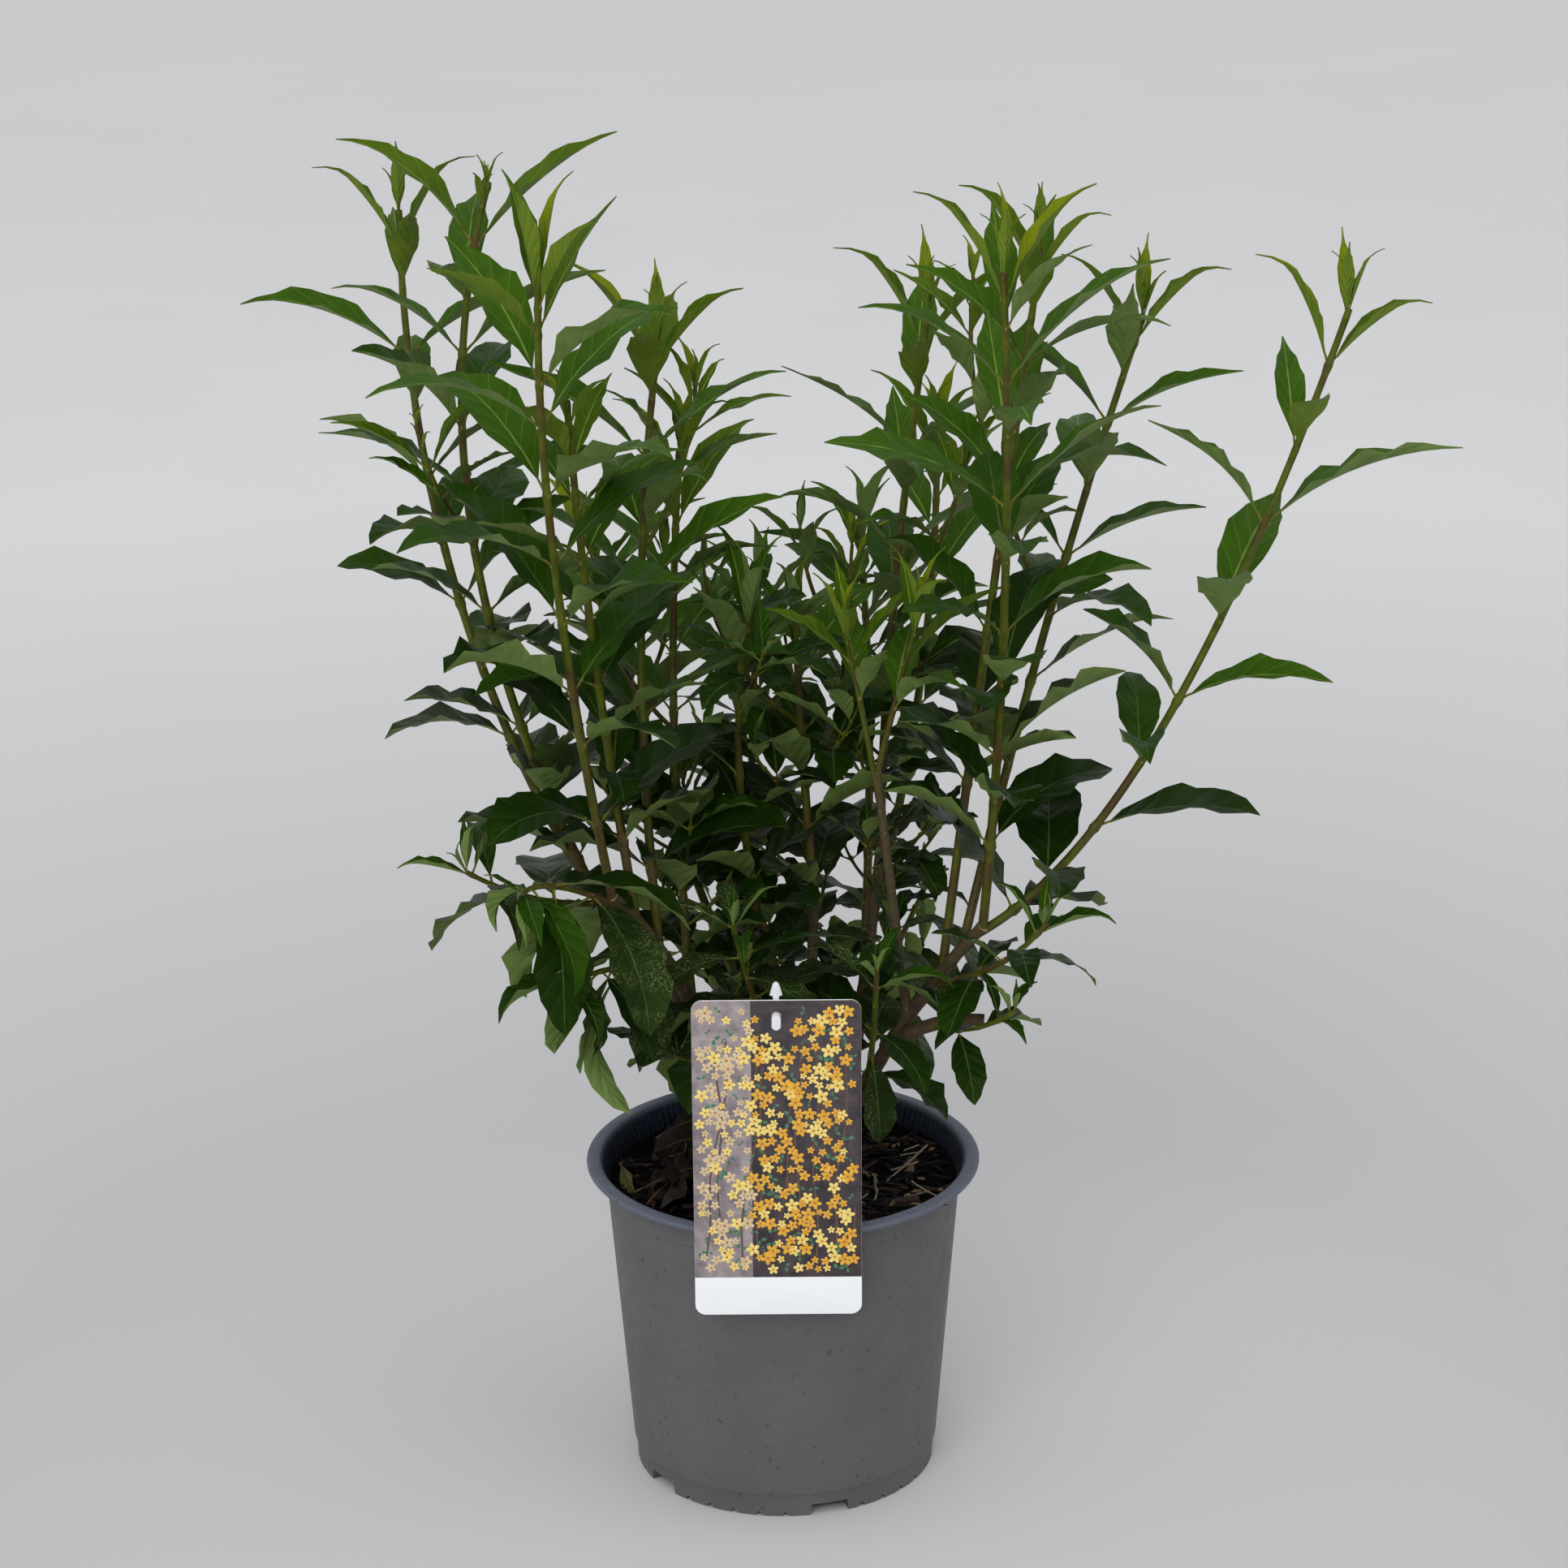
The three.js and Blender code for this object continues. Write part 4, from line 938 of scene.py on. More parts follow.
def rib_points(leaf, t):
    """The midrib: an arc in an upright plane, which leaves at the leaf's pitch and bends over."""
    pitch, arch, size = leaf["pitch"], leaf["arch"], leaf["length"] / leaf["arch"]
    reach = size * (sin(pitch) - np.sin(pitch - arch * t))
    rise = size * (np.cos(pitch - arch * t) - cos(pitch))
    c, s = cos(leaf["heading"]), sin(leaf["heading"])
    return leaf["root"] + np.stack([reach * c, reach * s, rise], axis=-1)


def blade_axes(leaf, t):
    """The directions across a blade and out of its upper face, rolled about the midrib."""
    pitch, roll = leaf["pitch"] - leaf["arch"] * t, leaf["roll"] * t
    c, s = cos(leaf["heading"]), sin(leaf["heading"])
    across = np.array([-s, c, 0.0]) + 0 * pitch[..., None]
    face = np.stack([-c * np.sin(pitch), -s * np.sin(pitch), np.cos(pitch)], axis=-1)
    turn, lift = np.cos(roll)[..., None], np.sin(roll)[..., None]
    return across * turn + face * lift, face * turn - across * lift


def leaf_at(curve, t, turn, shape):
    """Sets a leaf on its stem: where its midrib starts, and which way and how steeply it goes."""
    forward, right, back = about(curve, t)
    outward = cos(turn) * right + sin(turn) * back
    start = cos(shape["angle"]) * forward + sin(shape["angle"]) * outward
    heading = atan2(outward[1], outward[0])
    level = start[0] * cos(heading) + start[1] * sin(heading)
    leaning = atan2(start[2], level)
    pitch = leaning + UPRIGHT * (pi / 2 - shape["angle"] - leaning) - shape.get("droop", 0)
    return {**shape, "root": point_at(curve, t), "heading": heading, "pitch": pitch}


def samples_of(leaf):
    sides, _ = blade_axes(leaf, EDGE_STEPS)
    middles = rib_points(leaf, EDGE_STEPS)
    half = leaf["width"] / 2
    return np.concatenate([rib_points(leaf, RIB_STEPS), middles + half * sides,
                           middles - half * sides])


def meets_pot(p):
    in_pot = (np.hypot(p[:, 0], p[:, 1]) < LIP_RADIUS + OFF_POT) & (p[:, 2] < POT_HEIGHT + OFF_POT)
    beside = np.abs(p[:, 0] - LABEL_X) > LABEL_WIDTH / 2 + CARD_SIDE
    above = p[:, 2] > LABEL_TOP + CARD_TOP
    behind = p[:, 1] > LABEL_BACK + CARD_BACK
    return bool((in_pot | ~(beside | above | behind)).any())


standing = [np.empty((0, 3))]


def crowd(points):
    """Adds to the points where something already stands."""
    standing[0] = np.concatenate([standing[0], points])


def room_for(samples):
    """How far new points keep from what stands. None of them may meet the pot or the card."""
    if meets_pot(samples):
        return 0
    gaps = samples[:, None] - standing[0][None]
    return sqrt((gaps * gaps).sum(axis=2).min())


def nodes_of(curve, space, bare, draw):
    """The places along a stem where pairs stand, from the bud down."""
    length = length_of(curve)
    places, below = [], BUD_LENGTH
    while below < length * (1 - bare):
        step = min(1, FIRST_SPACE + MORE_SPACE * len(places))
        places.append(1 - below / length)
        below += space * step * (1 + SPACE_SCATTER * (draw() - 0.5))
    return places


def grow_pairs(curve, plan, size, draw, bare, spin):
    """The pairs of one stem, each as its place, turn and up to two leaves."""
    bud, low = plan.get("bud", 1), plan.get("low", 0)
    pairs = []
    for i, t in enumerate(nodes_of(curve, plan["space"] * sqrt(size), bare, draw)):
        grown, angle, arch, slim = AGES[min(i, len(AGES) - 1)]
        older = min(OLDER["steps"], max(0, i - len(AGES) + 1))
        budding = bud if i < 2 else 1
        slim += OLDER["slim"] * older + HANGING["slim"] * low
        pair = []
        for half in (0, pi):
            turn = radians(spin + 90 * i + SCATTER["turn"] * (draw() - 0.5)) + half
            length = plan["leaf"] * size * budding * grown * (1 - OLDER["shrink"] * older)
            length *= 1 + SCATTER["length"] * (draw() - 0.5)
            tilt = angle + SCATTER["angle"] * (draw() - 0.5) + HANGING["angle"] * low
            bend = (arch + OLDER["arch"] * older) * (1 + SCATTER["arch"] * (draw() - 0.5))
            width = length * slim * (1 + SCATTER["width"] * (draw() - 0.5)) * plan.get("wide", 1)
            roll = SCATTER["roll"] if i > 1 else SCATTER["young"]
            shape = {"length": length, "width": width, "angle": radians(tilt), "age": i,
                     "arch": radians(bend + HANGING["arch"] * low),
                     "droop": radians(HANGING["droop"] * low),
                     "roll": radians(roll * (draw() - 0.5))}
            best = None
            for step in TURNS if i > 1 else (0,):
                leaf = leaf_at(curve, t, turn + radians(step), shape)
                samples = samples_of(leaf)
                room = room_for(samples) if i > 1 else ROOM
                if best is None or room > best[0]:
                    best = (room, leaf, samples)
                if best[0] >= ROOM:
                    break
            if best[0] >= CROWDED:
                pair.append(best)
        for _, _, samples in pair:
            crowd(samples)
        pairs.append((t, radians(spin + 90 * i), [leaf for _, leaf, _ in pair]))
    return pairs


def side_stem(curve, at, kind, draw):
    """A small stem that leaves another at its side and turns up beside it."""
    turn = tau * draw()
    length = kind["length"] + kind["longer"] * draw()
    forward, foot = tangent_at(curve, at), point_at(curve, at)
    outward = np.array([cos(turn), sin(turn), 0.0])
    outward = unit(outward - forward * outward.dot(forward))
    knee, tip = (foot + up * length * forward + out * length * outward
                 for up, out in kind["course"])
    return bow(foot, knee, tip)


for plan in CANES:
    foot = point_at(stems[plan["from"]], plan["at"])
    stems[plan["name"]] = bow(foot, plan["knee"], plan["tip"])
for curve in stems.values():
    crowd(point_at(curve, np.arange(1, 25) / 24))
canes = []
for i, plan in enumerate(CANES):
    draw = stream(i + 1)
    curve, count = stems[plan["name"]], plan.get("shoots", 0)
    shoots = []
    for k in range(count):
        at = SHOOT["lowest"] + SHOOT["spread"] * (k + draw()) / count
        shoot = side_stem(curve, at, SHOOT, draw)
        if room_for(point_at(shoot, SIXTHS[1:])) >= CROWDED:
            shoots.append((shoot, "shoot"))
    for shoot, _ in shoots:
        crowd(point_at(shoot, SIXTHS))
    canes.append({"plan": plan, "draw": draw, "stems": [(curve, "cane")] + shoots, "grown": []})
for cane in canes:
    plan, draw = cane["plan"], cane["draw"]
    for curve, kind in cane["stems"]:
        size, bare, spin = 1, plan.get("bare", 0.02), plan["spin"]
        if kind == "shoot":
            size, bare, spin = SHOOT["leaf"], SHOOT["bare"], spin + 45
        cane["grown"].append((curve, kind, grow_pairs(curve, plan, size, draw, bare, spin)))

# Fine twigs fill the heart of the shrub, which is an upright round space: short, with small dark
# leaves, they stand on the boughs, low on the canes and all up the shaded ones, wherever they find
# room. The twigs of a bough belong to the mass of leaves that HOSTS names.
HOSTS = {"left_bough": "left_hanging_spray", "right_bough": "right_low_spray",
         "left_back_bough": "left_back_spray", "middle_bough": "centre_low_spray",
         "right_back_bough": "back_right_spray", "back_bough": "back_low_spray",
         "forked_bough": "centre_fork_left", "cut_stub": "right_hanging_spray"}
TWIG_STEP = 13
TWIG_AGE = 4
TWIG_PLAN = {"leaf": 74, "space": 17, "low": 0.15, "wide": 1.5}
HEART_X, HEART_Y, HEART_RADIUS = -4, 30, 62

by_name = {cane["plan"]["name"]: cane for cane in canes}
for seed, (name, curve) in enumerate(stems.items()):
    host = by_name[HOSTS.get(name, name)]
    if name not in HOSTS and "low" in host["plan"]:
        continue
    low_end, high_end = 0.04, 0.9 if "shaded" in host["plan"] else 0.42
    if name in HOSTS:
        low_end, high_end = 0.3, 1
    draw = stream(500 + seed)
    count = int(length_of(curve) * (high_end - low_end) / TWIG_STEP)
    for k in range(count):
        twig = side_stem(curve, low_end + (high_end - low_end) * (k + draw()) / count, TWIG, draw)
        points = point_at(twig, SIXTHS)
        off_heart = hypot(points[0][0] - HEART_X, points[0][1] - HEART_Y)
        if off_heart > HEART_RADIUS or room_for(points[1:]) < CROWDED:
            continue
        crowd(points)
        pairs = grow_pairs(twig, TWIG_PLAN, TWIG["leaf"], draw, TWIG["bare"], 360 * draw())
        for _, _, pair in pairs:
            for leaf in pair:
                leaf["age"] += TWIG_AGE
        host["grown"].append((twig, "twig", pairs))

# --- Canes ---------------------------------------------------------------------------------------
# This year's wood: slim, green and slightly ribbed, browner and rougher towards its foot, with a
# swollen joint and two small buds at every pair of leaves.

CANE_RADII = (2.2, 1.5)
SPRAY_RADII = (1.7, 1.1)
SHOOT_RADII = (1.25, 0.8)
TWIG_RADII = (0.95, 0.55)
CANE_SIDES = 8
CANE_STEP = 5
JOINT_RINGS = (-3.2, -1.4, 0, 1.4, 3.2)
BUD_SIDES = 5
BUD_FACES = sleeve(3, BUD_SIDES)[:-1] + [[10 + k, 10 + (k + 1) % BUD_SIDES, 15]
                                         for k in range(BUD_SIDES)]

cane_skin = Finish("cane_skin", 0.55, 0.25)
young = cane_skin.node("Attribute", {}, attribute_name="young").outputs["Fac"]
woody = cane_skin.two_tone((62, 46, 24), (88, 70, 36), 500)
green = cane_skin.two_tone((62, 74, 2), (86, 95, 10), 150, 3)
green = cane_skin.mix(cane_skin.patches(40, 0.5, 0.62, 0, 0.75), green, paint(76, 52, 28))
patchy = cane_skin.math("ADD", young, cane_skin.patches(45, 0.3, 0.7, -0.3, 0.3, detail=4))
cane_skin.color(cane_skin.mix(cane_skin.spread(patchy, -0.1, 0.3), woody, green))
cane_skin.relief(cane_skin.cloud(1100), 0.35, 0.0004)
bud_scales = Finish("bud_scales", 0.6)
bud_scales.color(bud_scales.two_tone((104, 84, 44), (136, 140, 60), 800, 2))
bud_scales.relief(bud_scales.cloud(1800, 2), 0.3, 0.0002)


def cane_radius(radii, length, pairs):
    def radius_at(t, turn):
        radius = radii[0] + (radii[1] - radii[0]) * t + 0 * turn
        radius = radius * (1 + 0.035 * np.cos(4 * turn))
        for place, faced, _ in pairs:
            near = np.exp(-(((t - place) * length / 1.9) ** 2))
            radius = radius * (1 + 0.34 * near * (0.25 + 0.75 * np.cos(turn - faced) ** 2))
        return radius

    return radius_at


def axil_bud(curve, t, turn, radius, size):
    """A small pointed bud, pressed to the stem just above a leaf's foot."""
    forward, right, back = about(curve, t)
    outward = cos(turn) * right + sin(turn) * back
    beside = np.cross(forward, outward)
    foot = point_at(curve, t) + outward * radius * 0.95 + forward * 0.4
    points = []
    for along, wide in ((0, 0.5), (0.35, 0.75), (0.7, 0.5)):
        for k in range(BUD_SIDES):
            a = k * tau / BUD_SIDES
            points.append(foot + forward * along * 3.2 * size + outward * (0.5 * along) * size
                          + wide * size * (cos(a) * outward + sin(a) * beside))
    points.append(foot + forward * 3.4 * size + outward * 0.5 * size)
    return points


for cane in canes:
    plan = cane["plan"]
    own_radii = plan.get("radii", SPRAY_RADII if "low" in plan else CANE_RADII)
    wood, greens = Shape(), []
    for curve, kind, pairs in cane["grown"]:
        radii = {"cane": own_radii, "shoot": SHOOT_RADII, "twig": TWIG_RADII}[kind]
        length = length_of(curve)
        joints = [t + d / length for t, _, _ in pairs for d in JOINT_RINGS]
        evenly = np.linspace(0, 1, max(4, int(length / CANE_STEP)) + 1)
        places = np.unique(np.round(np.concatenate([evenly, joints]), 4))
        places = places[(places >= 0) & (places <= 1)]
        places = places[np.concatenate([[True], np.diff(places) * length > 0.6])]
        wood.add(*tube(curve, places, cane_radius(radii, length, pairs), CANE_SIDES), 0)
        greens += np.repeat(places if kind == "cane" else 0.5 + 0.5 * places, CANE_SIDES).tolist()
        for i, (t, faced, _) in enumerate(pairs[1:], 1):
            radius = radii[0] + (radii[1] - radii[0]) * t
            for half in (0, pi):
                bud = axil_bud(curve, t, faced + half, radius, 0.55 + 0.25 * min(i, 3) / 3)
                wood.add(bud, BUD_FACES, 1)
                greens += [1] * len(bud)
    stem = wood.piece(plan["name"], cane_skin, bud_scales)
    stem.data.attributes.new("young", "FLOAT", "POINT").data.foreach_set("value", greens)
    smooth_over(stem, 60)
    fix(stem, plan["name"] + "_stem", "foliage")

# --- Leaves --------------------------------------------------------------------------------------
# Long pointed leaves on short stalks, saw-edged beyond their lowest quarter, folded along a pale
# midrib and wavy at the edge. The youngest are small and yellow-green, the lowest broad and dark,
# partly with age and partly with painted shade.

STALK = 0.1
STALK_STEPS, STALK_SIDES = 2, 3
STALK_FACES = sleeve(STALK_STEPS + 1, STALK_SIDES, flipped=True)
ROWS = 10
RIB_HALF = 0.42
RIB_COLUMN = 0.1
KEEL = 0.75
TOOTH = 0.022
COLUMNS = (-1, -RIB_COLUMN, RIB_COLUMN, 1, 0)
SHADE_TOP, SHADE_DEPTH = 370, 90
MOTTLED_BELOW = 312


def blade_plan():
    """One leaf's corners as place along and across, and its faces with their parts: upper side,
    underside and midrib. Each row's last corner is the keel under the midrib."""
    faces, parts = [], []
    corners = [(row / ROWS, across) for row in range(ROWS + 1) for across in COLUMNS]
    for row in range(ROWS):
        a, b = 5 * row, 5 * (row + 1)
        faces += [[b, b + 1, a + 1, a], [b + 3, a + 3, a + 2, b + 2], [a + 1, b + 1, b + 2, a + 2]]
        faces += [[b, a, a + 4, b + 4], [b + 3, b + 4, a + 4, a + 3]]
        parts += [0, 0, 2, 1, 1]
    faces += [[4, 0, 1, 2, 3], [5 * ROWS + k for k in (4, 3, 2, 1, 0)]]
    return np.array(corners), faces, parts + [0, 0]


CORNERS, BLADE_FACES, BLADE_PARTS = blade_plan()
BLADE_PLACES = np.stack([0.5 + 0.5 * CORNERS[:, 1], CORNERS[:, 0]], axis=1).tolist()
STALK_PLACES = [[0.5, 0.0]] * (STALK_SIDES * (STALK_STEPS + 1))


def blade_points(leaf, look):
    """Shapes one leaf's corners about its midrib."""
    along, across = CORNERS.T
    t = STALK + (1 - STALK) * along
    old = look["old"]
    rise, fall = 1.35 - 0.45 * old, 2 - 1.25 * old
    peak = rise / (rise + fall)
    outline = along ** rise * (1 - along) ** fall / (peak ** rise * (1 - peak) ** fall)
    half = np.maximum(0.5 * leaf["width"] * look["broad"] * outline, 0.3)
    rib = np.minimum(RIB_HALF * (1.3 - along), 0.3 * half)
    is_rib = np.abs(across) == RIB_COLUMN
    reach = np.where(is_rib, np.sign(across) * rib, across * half)
    toothed = np.clip((along - 0.2) / 0.12, 0, 1) * np.clip((0.97 - along) / 0.1, 0, 1)
    is_edge = np.abs(across) == 1
    saw = np.where(is_edge, -np.cos(pi * ROWS * along), 0.0) * toothed
    reach = reach + np.sign(across) * saw * TOOTH * (0.6 + 0.4 * old) * leaf["width"]
    t = t + saw * 0.005
    fold = look["fold"] * (0.7 + 0.6 * along)
    wave = np.sin(tau * (look["waves"] * along + look["phase"] * np.sign(across)))
    lift = fold * np.abs(reach) * (1.12 - 0.2 * np.abs(across))
    lift = lift + look["wavy"] * half * wave * np.abs(across)
    lift = lift - look["curl"] * half * np.abs(across) ** 3 * along
    depth = KEEL * (1 - 0.6 * along) * min(1, leaf["length"] / 50)
    lift = np.where(across == 0, -np.maximum(depth, 0.3), lift)
    lift = lift - look["tail"] * leaf["length"] * np.clip(along - 0.7, 0, 1) ** 2
    sway = look["sway"] * leaf["length"] * along ** 2
    side, face = blade_axes(leaf, t)
    return rib_points(leaf, t) + (reach + sway)[:, None] * side + lift[:, None] * face


def stalk_points(leaf):
    """The leaf's stalk: a thin three-sided stem from the cane to just inside the blade."""
    points = []
    for i in range(STALK_STEPS + 1):
        t = np.array([(STALK + 0.05) * i / STALK_STEPS])
        middle = rib_points(leaf, t)[0]
        side, face = (axis[0] for axis in blade_axes(leaf, t))
        radius = (0.85 - 0.4 * i / STALK_STEPS) * min(1, 0.45 + leaf["length"] / 110)
        for k in range(STALK_SIDES):
            a = (k + 0.5) * tau / STALK_SIDES
            points.append(middle + radius * (cos(a) * side + sin(a) * face) - 0.1 * face * i)
    return points


def leaf_finish(name, first, second, vein, mottle=0.0, gloss=0.5, veined=0.45):
    """A leaf's skin: two near greens, a net of curved side veins, and the hollows between them."""
    skin = Finish(name, gloss, 0.11)
    blade = skin.node("SeparateXYZ", {0: skin.node("UVMap", {}, uv_map="blade").outputs[0]}).outputs
    off_rib = skin.math("ABSOLUTE", skin.math("SUBTRACT", blade["X"], 0.5))
    swept = skin.math("MULTIPLY", skin.math("POWER", off_rib, 0.75), 2.6)
    phase = skin.math("SUBTRACT", skin.math("MULTIPLY", blade["Y"], 6.5), swept)
    from_vein = skin.math("PINGPONG", skin.math("ADD", phase, 8.0), 0.5)
    skin.color(skin.two_tone(first, second, 55, 4, 0.6, half=0.18))
    skin.lay(skin.math("MULTIPLY", skin.spread(from_vein, 0.055, 0.0), veined), vein)
    if mottle:
        blotch = skin.patches(900, 0.5, 0.6, 0, mottle, detail=4, roughness=0.7)
        skin.lay(skin.math("MULTIPLY", blotch, skin.patches(70, 0.42, 0.58)), (96, 106, 68))
    grain = skin.math("MULTIPLY", skin.cloud(900), 0.5)
    skin.relief(skin.math("ADD", skin.spread(from_vein, 0.0, 0.35), grain), 0.5, 0.0007)
    skin.set("Specular Tint", (0.8, 1, 0.4, 1))
    return skin


# The darker greens serve both older leaves and painted shade deep in the crown.
LEAF_FINISHES = [
    leaf_finish("leaf_tip_green", (122, 130, 16), (100, 115, 14), (146, 152, 52)),
    leaf_finish("leaf_fresh_green", (71, 94, 9), (57, 82, 7), (116, 134, 50)),
    leaf_finish("leaf_grown_green", (54, 87, 9), (43, 75, 7), (98, 122, 54)),
    leaf_finish("leaf_deep_green", (37, 69, 4), (29, 57, 3), (76, 102, 48), veined=0.35),
    leaf_finish("leaf_old_green", (25, 48, 5), (18, 39, 4), (62, 84, 44), 0, 0.42, 0.3),
    leaf_finish("leaf_mottled", (32, 48, 14), (25, 40, 12), (66, 84, 48), 0.8, 0.55, 0.3),
    leaf_finish("leaf_young_underside", (107, 128, 40), (94, 118, 36), (140, 154, 84), 0, 0.62),
    leaf_finish("leaf_old_underside", (114, 136, 74), (100, 122, 62), (132, 148, 94), 0, 0.62),
    leaf_finish("leaf_midrib", (112, 138, 56), (100, 128, 50), (112, 138, 56)),
    leaf_finish("leaf_stalk", (106, 108, 40), (98, 76, 42), (106, 108, 40)),
    leaf_finish("leaf_old_midrib", (74, 98, 48), (62, 84, 40), (74, 98, 48)),
]
MOTTLED, YOUNG_BACK, OLD_BACK, RIB, STALK_SKIN, OLD_RIB = range(5, 11)
UPPER_AGES = (0.9, 2.2, 5, 8)


def depth_of(leaf):
    """How deep in the shade of the crown a leaf stands."""
    return min(1, max(0, (SHADE_TOP - leaf["root"][2]) / SHADE_DEPTH))


def leaf_tones(leaf, low, chance):
    """The numbers of the leaf's upper and under finish, by age and by height. Its greens darken
    deeper in the crown, partly for the older leaves there and partly as painted shade.
    """
    age = leaf["age"] + 4 * low + 5 * depth_of(leaf) + 1.6 * (chance - 0.5)
    if low > 0.4 and leaf["root"][2] < MOTTLED_BELOW and chance > 0.5:
        return MOTTLED, OLD_BACK
    upper = sum(age >= limit for limit in UPPER_AGES)
    return upper, YOUNG_BACK if upper < 2 else OLD_BACK


def tip_leaves(curve, spin, size, draw):
    """The four tiny folded leaves that still stand together at a stem's very tip."""
    made = []
    for i, (share, angle) in enumerate(((0.34, 5), (0.2, 3))):
        for half in (0, pi):
            length = size * share * (0.85 + 0.3 * draw())
            shape = {"length": length, "angle": radians(angle + 6 * draw()),
                     "arch": radians(4 + 8 * draw()), "width": 0.2 * length,
                     "roll": radians(20 * (draw() - 0.5)), "age": 0}
            made.append(leaf_at(curve, 0.995, radians(spin + 90 * (i + 1)) + half, shape))
    return made


def add_leaf(foliage, leaf, look, upper, under):
    """Adds a leaf with its stalk. upper and under are the numbers of its finishes."""
    rib = RIB if upper < 3 else OLD_RIB
    tones = [(upper, under, rib)[part] for part in BLADE_PARTS]
    foliage.add(blade_points(leaf, look).tolist(), BLADE_FACES, tones, BLADE_PLACES)
    foliage.add(stalk_points(leaf), STALK_FACES, STALK_SKIN, STALK_PLACES)


# A few old leaves hang down over the pot: place on the stem, heading, pitch, arch, length, width
# and roll, in degrees and millimetres.
DANGLING = {
    "left_hanging_spray": [(0.45, 190, -50, 80, 96, 11, 80), (0.55, 205, -62, 25, 60, 11, 60)],
    "centre_right_spray": [(0.5, -40, -68, 12, 52, 15, 10), (0.42, -80, -60, 20, 68, 16, -10)],
}


def look_of(leaf, low, draw):
    """How a leaf is folded, waved, curled and bent, and how long and broad for its size."""
    young, depth = leaf["age"] < 2, depth_of(leaf)
    old = min(1, (leaf["age"] + 3 * low + 3 * depth) / 8)
    return {"fold": (0.8 if young else 0.55 - 0.2 * old) + 0.4 * (draw() - 0.5), "old": old,
            "broad": 0.87 if young else 1.04 + 0.2 * depth,
            "long": 1 - 0.14 * depth, "waves": 2.2 + 1.4 * draw(), "phase": draw(),
            "wavy": 0.08 + 0.16 * draw(), "curl": 0.35 * draw() * (0.5 + low),
            "tail": (0.8 + 1.2 * draw()) if young else 0.8 * (draw() - 0.3),
            "sway": 0.16 * (draw() - 0.5)}


grown = []
for i, cane in enumerate(canes):
    plan = cane["plan"]
    low = plan.get("low", plan.get("shaded", 0))
    bud = plan.get("bud", 0.6 if "shaded" in plan else 1)
    draw = stream(300 + i)
    for curve, kind, pairs in cane["grown"]:
        leaves = [leaf for _, _, pair in pairs for leaf in pair]
        if kind != "twig" and pairs:
            size = plan["leaf"] * (1 if kind == "cane" else SHOOT["leaf"]) * bud
            leaves += tip_leaves(curve, degrees(pairs[0][1]), size, draw)
        if kind == "cane":
            for at, heading, pitch, arch, length, width, roll in DANGLING.get(plan["name"], ()):
                leaves.append({"root": point_at(curve, at), "heading": radians(heading),
                               "pitch": radians(pitch), "arch": radians(arch), "length": length,
                               "width": width, "roll": radians(roll), "age": 9})
        for leaf in leaves:
            look, tones = look_of(leaf, low, draw), leaf_tones(leaf, low, draw())
            leaf = {**leaf, "length": leaf["length"] * look["long"]}
            grown.append((("cane", "shoot", "twig").index(kind), i, leaf, look, tones))

# A leaf that would pass through one already there turns aside a little, and is left out if that
# doesn't help. The canes' own come first, then those of their shoots, and last those of the twigs.
DODGES = ((0, 0), (12, 6), (-12, 6), (12, -8), (-12, -8), (24, 0), (-24, 0))
masses = [Shape() for _ in canes]
there, middles, reaches = [], np.empty((0, 3)), np.empty(0)
for _, i, leaf, look, tones in sorted(grown, key=lambda entry: entry[0]):
    for turn, lift in DODGES if leaf["age"] > 1 else DODGES[:1]:
        moved = {**leaf, "heading": leaf["heading"] + radians(turn),
                 "pitch": leaf["pitch"] + radians(lift)}
        blade = blade_points(moved, look)
        middle = blade.mean(axis=0)
        reach = np.linalg.norm(blade - middle, axis=1).max()
        shell = BVHTree.FromPolygons(blade.tolist(), BLADE_FACES)
        near = np.flatnonzero(np.linalg.norm(middles - middle, axis=1) < reaches + reach)
        if leaf["age"] <= 1 or not any(shell.overlap(there[k]) for k in near):
            there.append(shell)
            middles, reaches = np.vstack([middles, middle]), np.append(reaches, reach)
            add_leaf(masses[i], moved, look, *tones)
            break
for cane, mass in zip(canes, masses):
    name = cane["plan"]["name"]
    foliage = mass.piece(name, *LEAF_FINISHES)
    smooth_over(foliage, 55)
    fix(foliage, name + "_leaves", "foliage", name)

# --- Fallen leaves -------------------------------------------------------------------------------
# Dead leaves of last year, red-brown and crumpled, dropped on the mix mostly at the left, and one
# withered green leaf that leans on the pot's wall.

FALLEN = 22

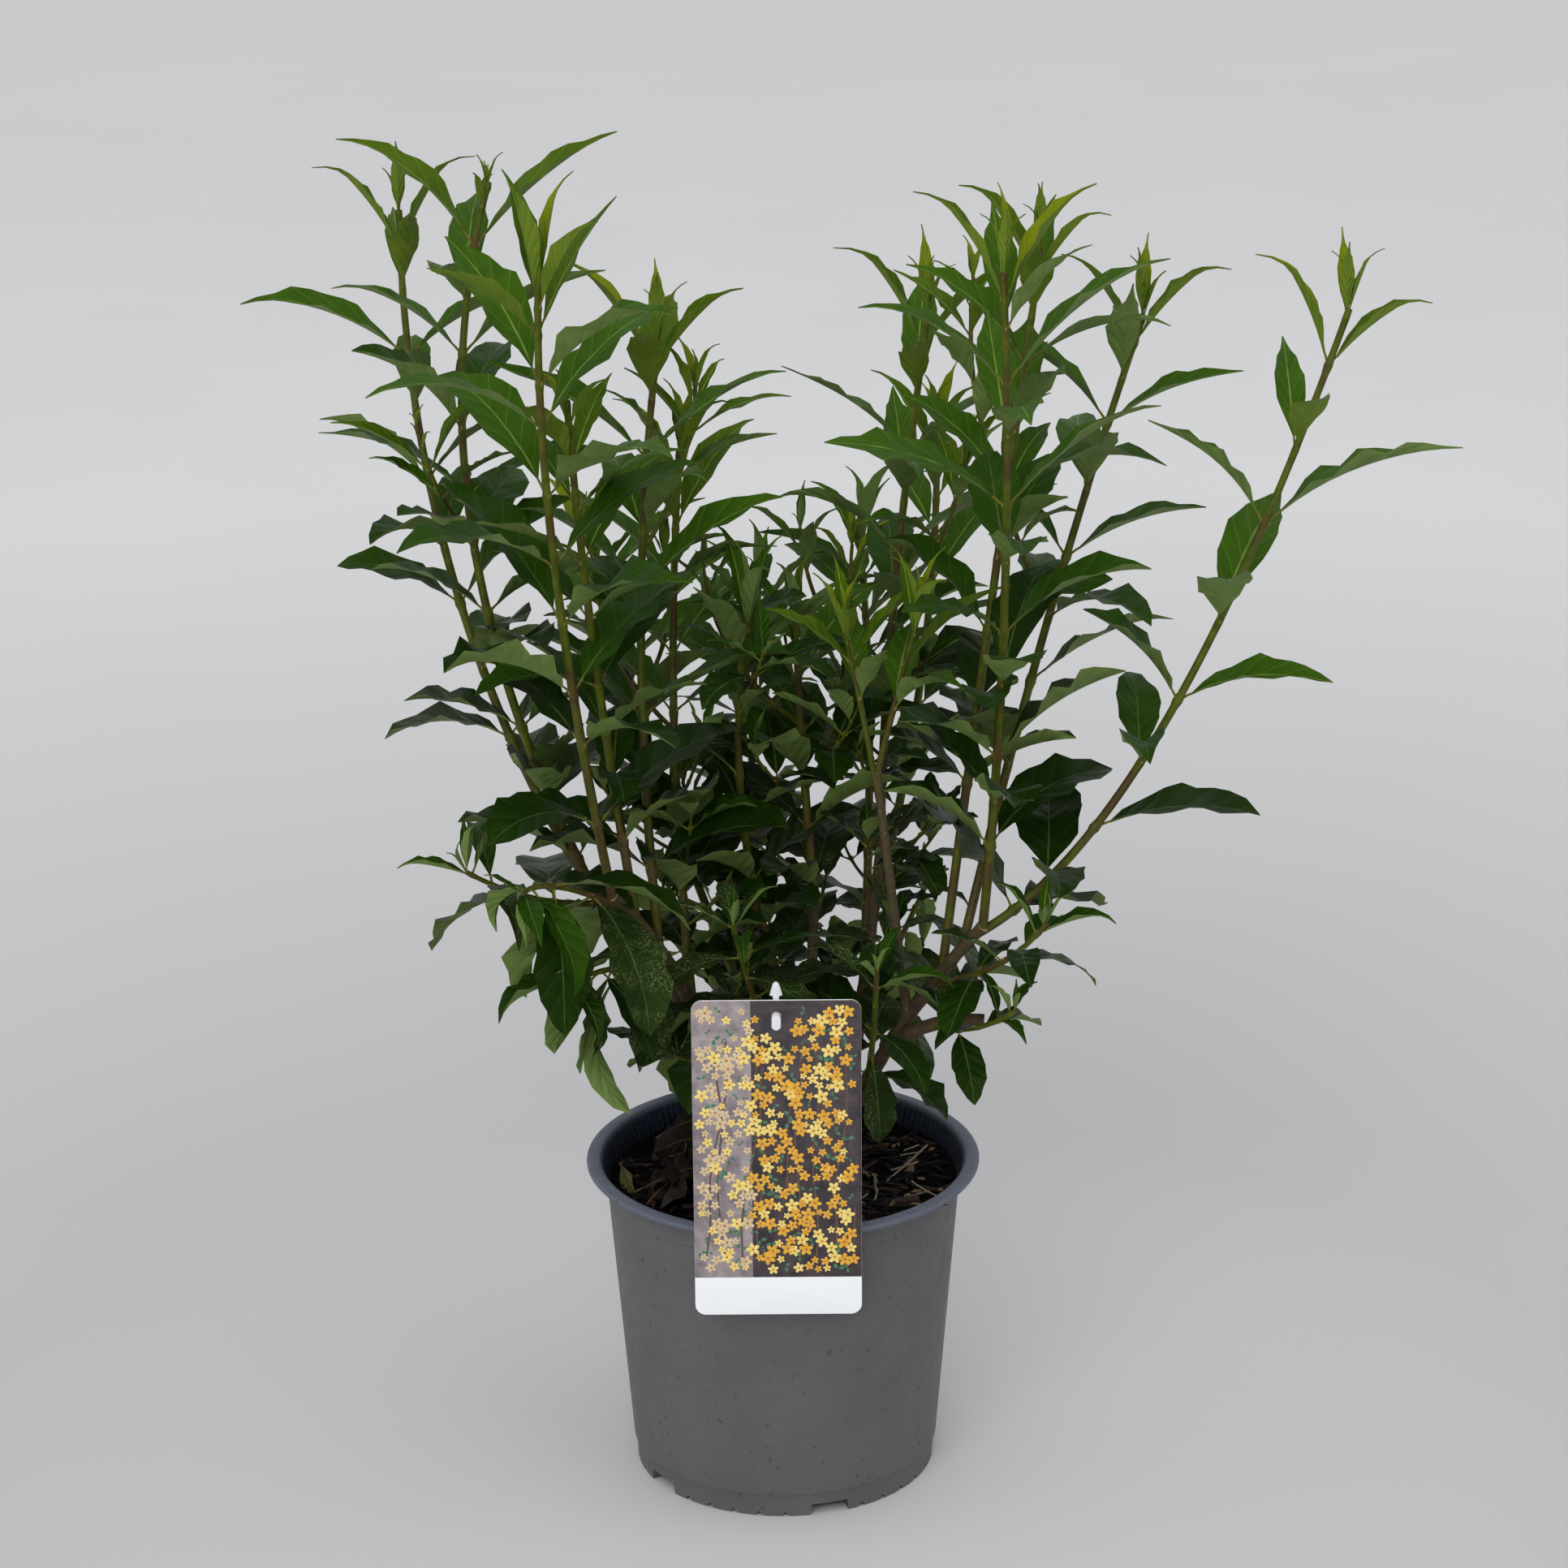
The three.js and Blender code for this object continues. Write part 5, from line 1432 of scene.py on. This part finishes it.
draw = stream(90)
dead = Shape()
fallen = 0
while fallen < FALLEN:
    reach, turn = 18 + 58 * draw(), radians(115 + 140 * draw())
    x, y = reach * cos(turn), reach * sin(turn)
    length = 28 + 24 * draw()
    leaf = {"root": np.array([x, y, mix_height(x, y) + 2 + 3 * draw()]), "heading": tau * draw(),
            "pitch": radians(5 + 30 * draw()), "arch": radians(25 + 60 * draw()),
            "length": length, "width": length * (0.36 + 0.12 * draw()),
            "roll": radians(160 * (draw() - 0.5))}
    look = {"fold": 0.7 * (draw() - 0.3), "old": 1, "broad": 1, "waves": 2 + 2 * draw(),
            "phase": draw(), "wavy": 0.3 + 0.4 * draw(), "curl": 0.3 + 1.1 * draw(), "tail": draw(),
            "sway": 0.3 * (draw() - 0.5)}
    ends = rib_points(leaf, np.array([0.5, 1]))
    off_axis = np.hypot(ends[:, 0], ends[:, 1])
    if (off_axis < wall_radius(MIX_TOP) - 9).all() and (ends[:, 2] > MIX_TOP + 1).all():
        add_leaf(dead, leaf, look, 0, 1)
        fallen += 1
leaf = {"root": np.array([-79, 2, MIX_TOP + 6]), "heading": radians(-76), "pitch": radians(-4),
        "arch": radians(50), "length": 36, "width": 8, "roll": radians(110)}
look = {"fold": 0.4, "old": 1, "broad": 1, "waves": 2, "phase": 0.3, "wavy": 0.2, "curl": 0.6,
        "tail": 0.2, "sway": 0.1}
add_leaf(dead, leaf, look, 3, 3)
dead.tones = [2 if tone >= RIB else tone for tone in dead.tones]
heap = dead.piece(
    "dead", leaf_finish("dead_leaf", (36, 23, 24), (18, 12, 14), (60, 44, 41), 0, 0.6),
    leaf_finish("dead_leaf_underside", (46, 32, 30), (27, 19, 19), (64, 48, 43), 0, 0.7),
    leaf_finish("dead_leaf_rib", (88, 66, 50), (70, 52, 40), (88, 66, 50), 0, 0.7),
    leaf_finish("withered_leaf", (92, 95, 56), (70, 72, 44), (110, 108, 72), 0, 0.6))
smooth_over(heap, 55)
fix(heap, "fallen_leaves", "potting_mix")
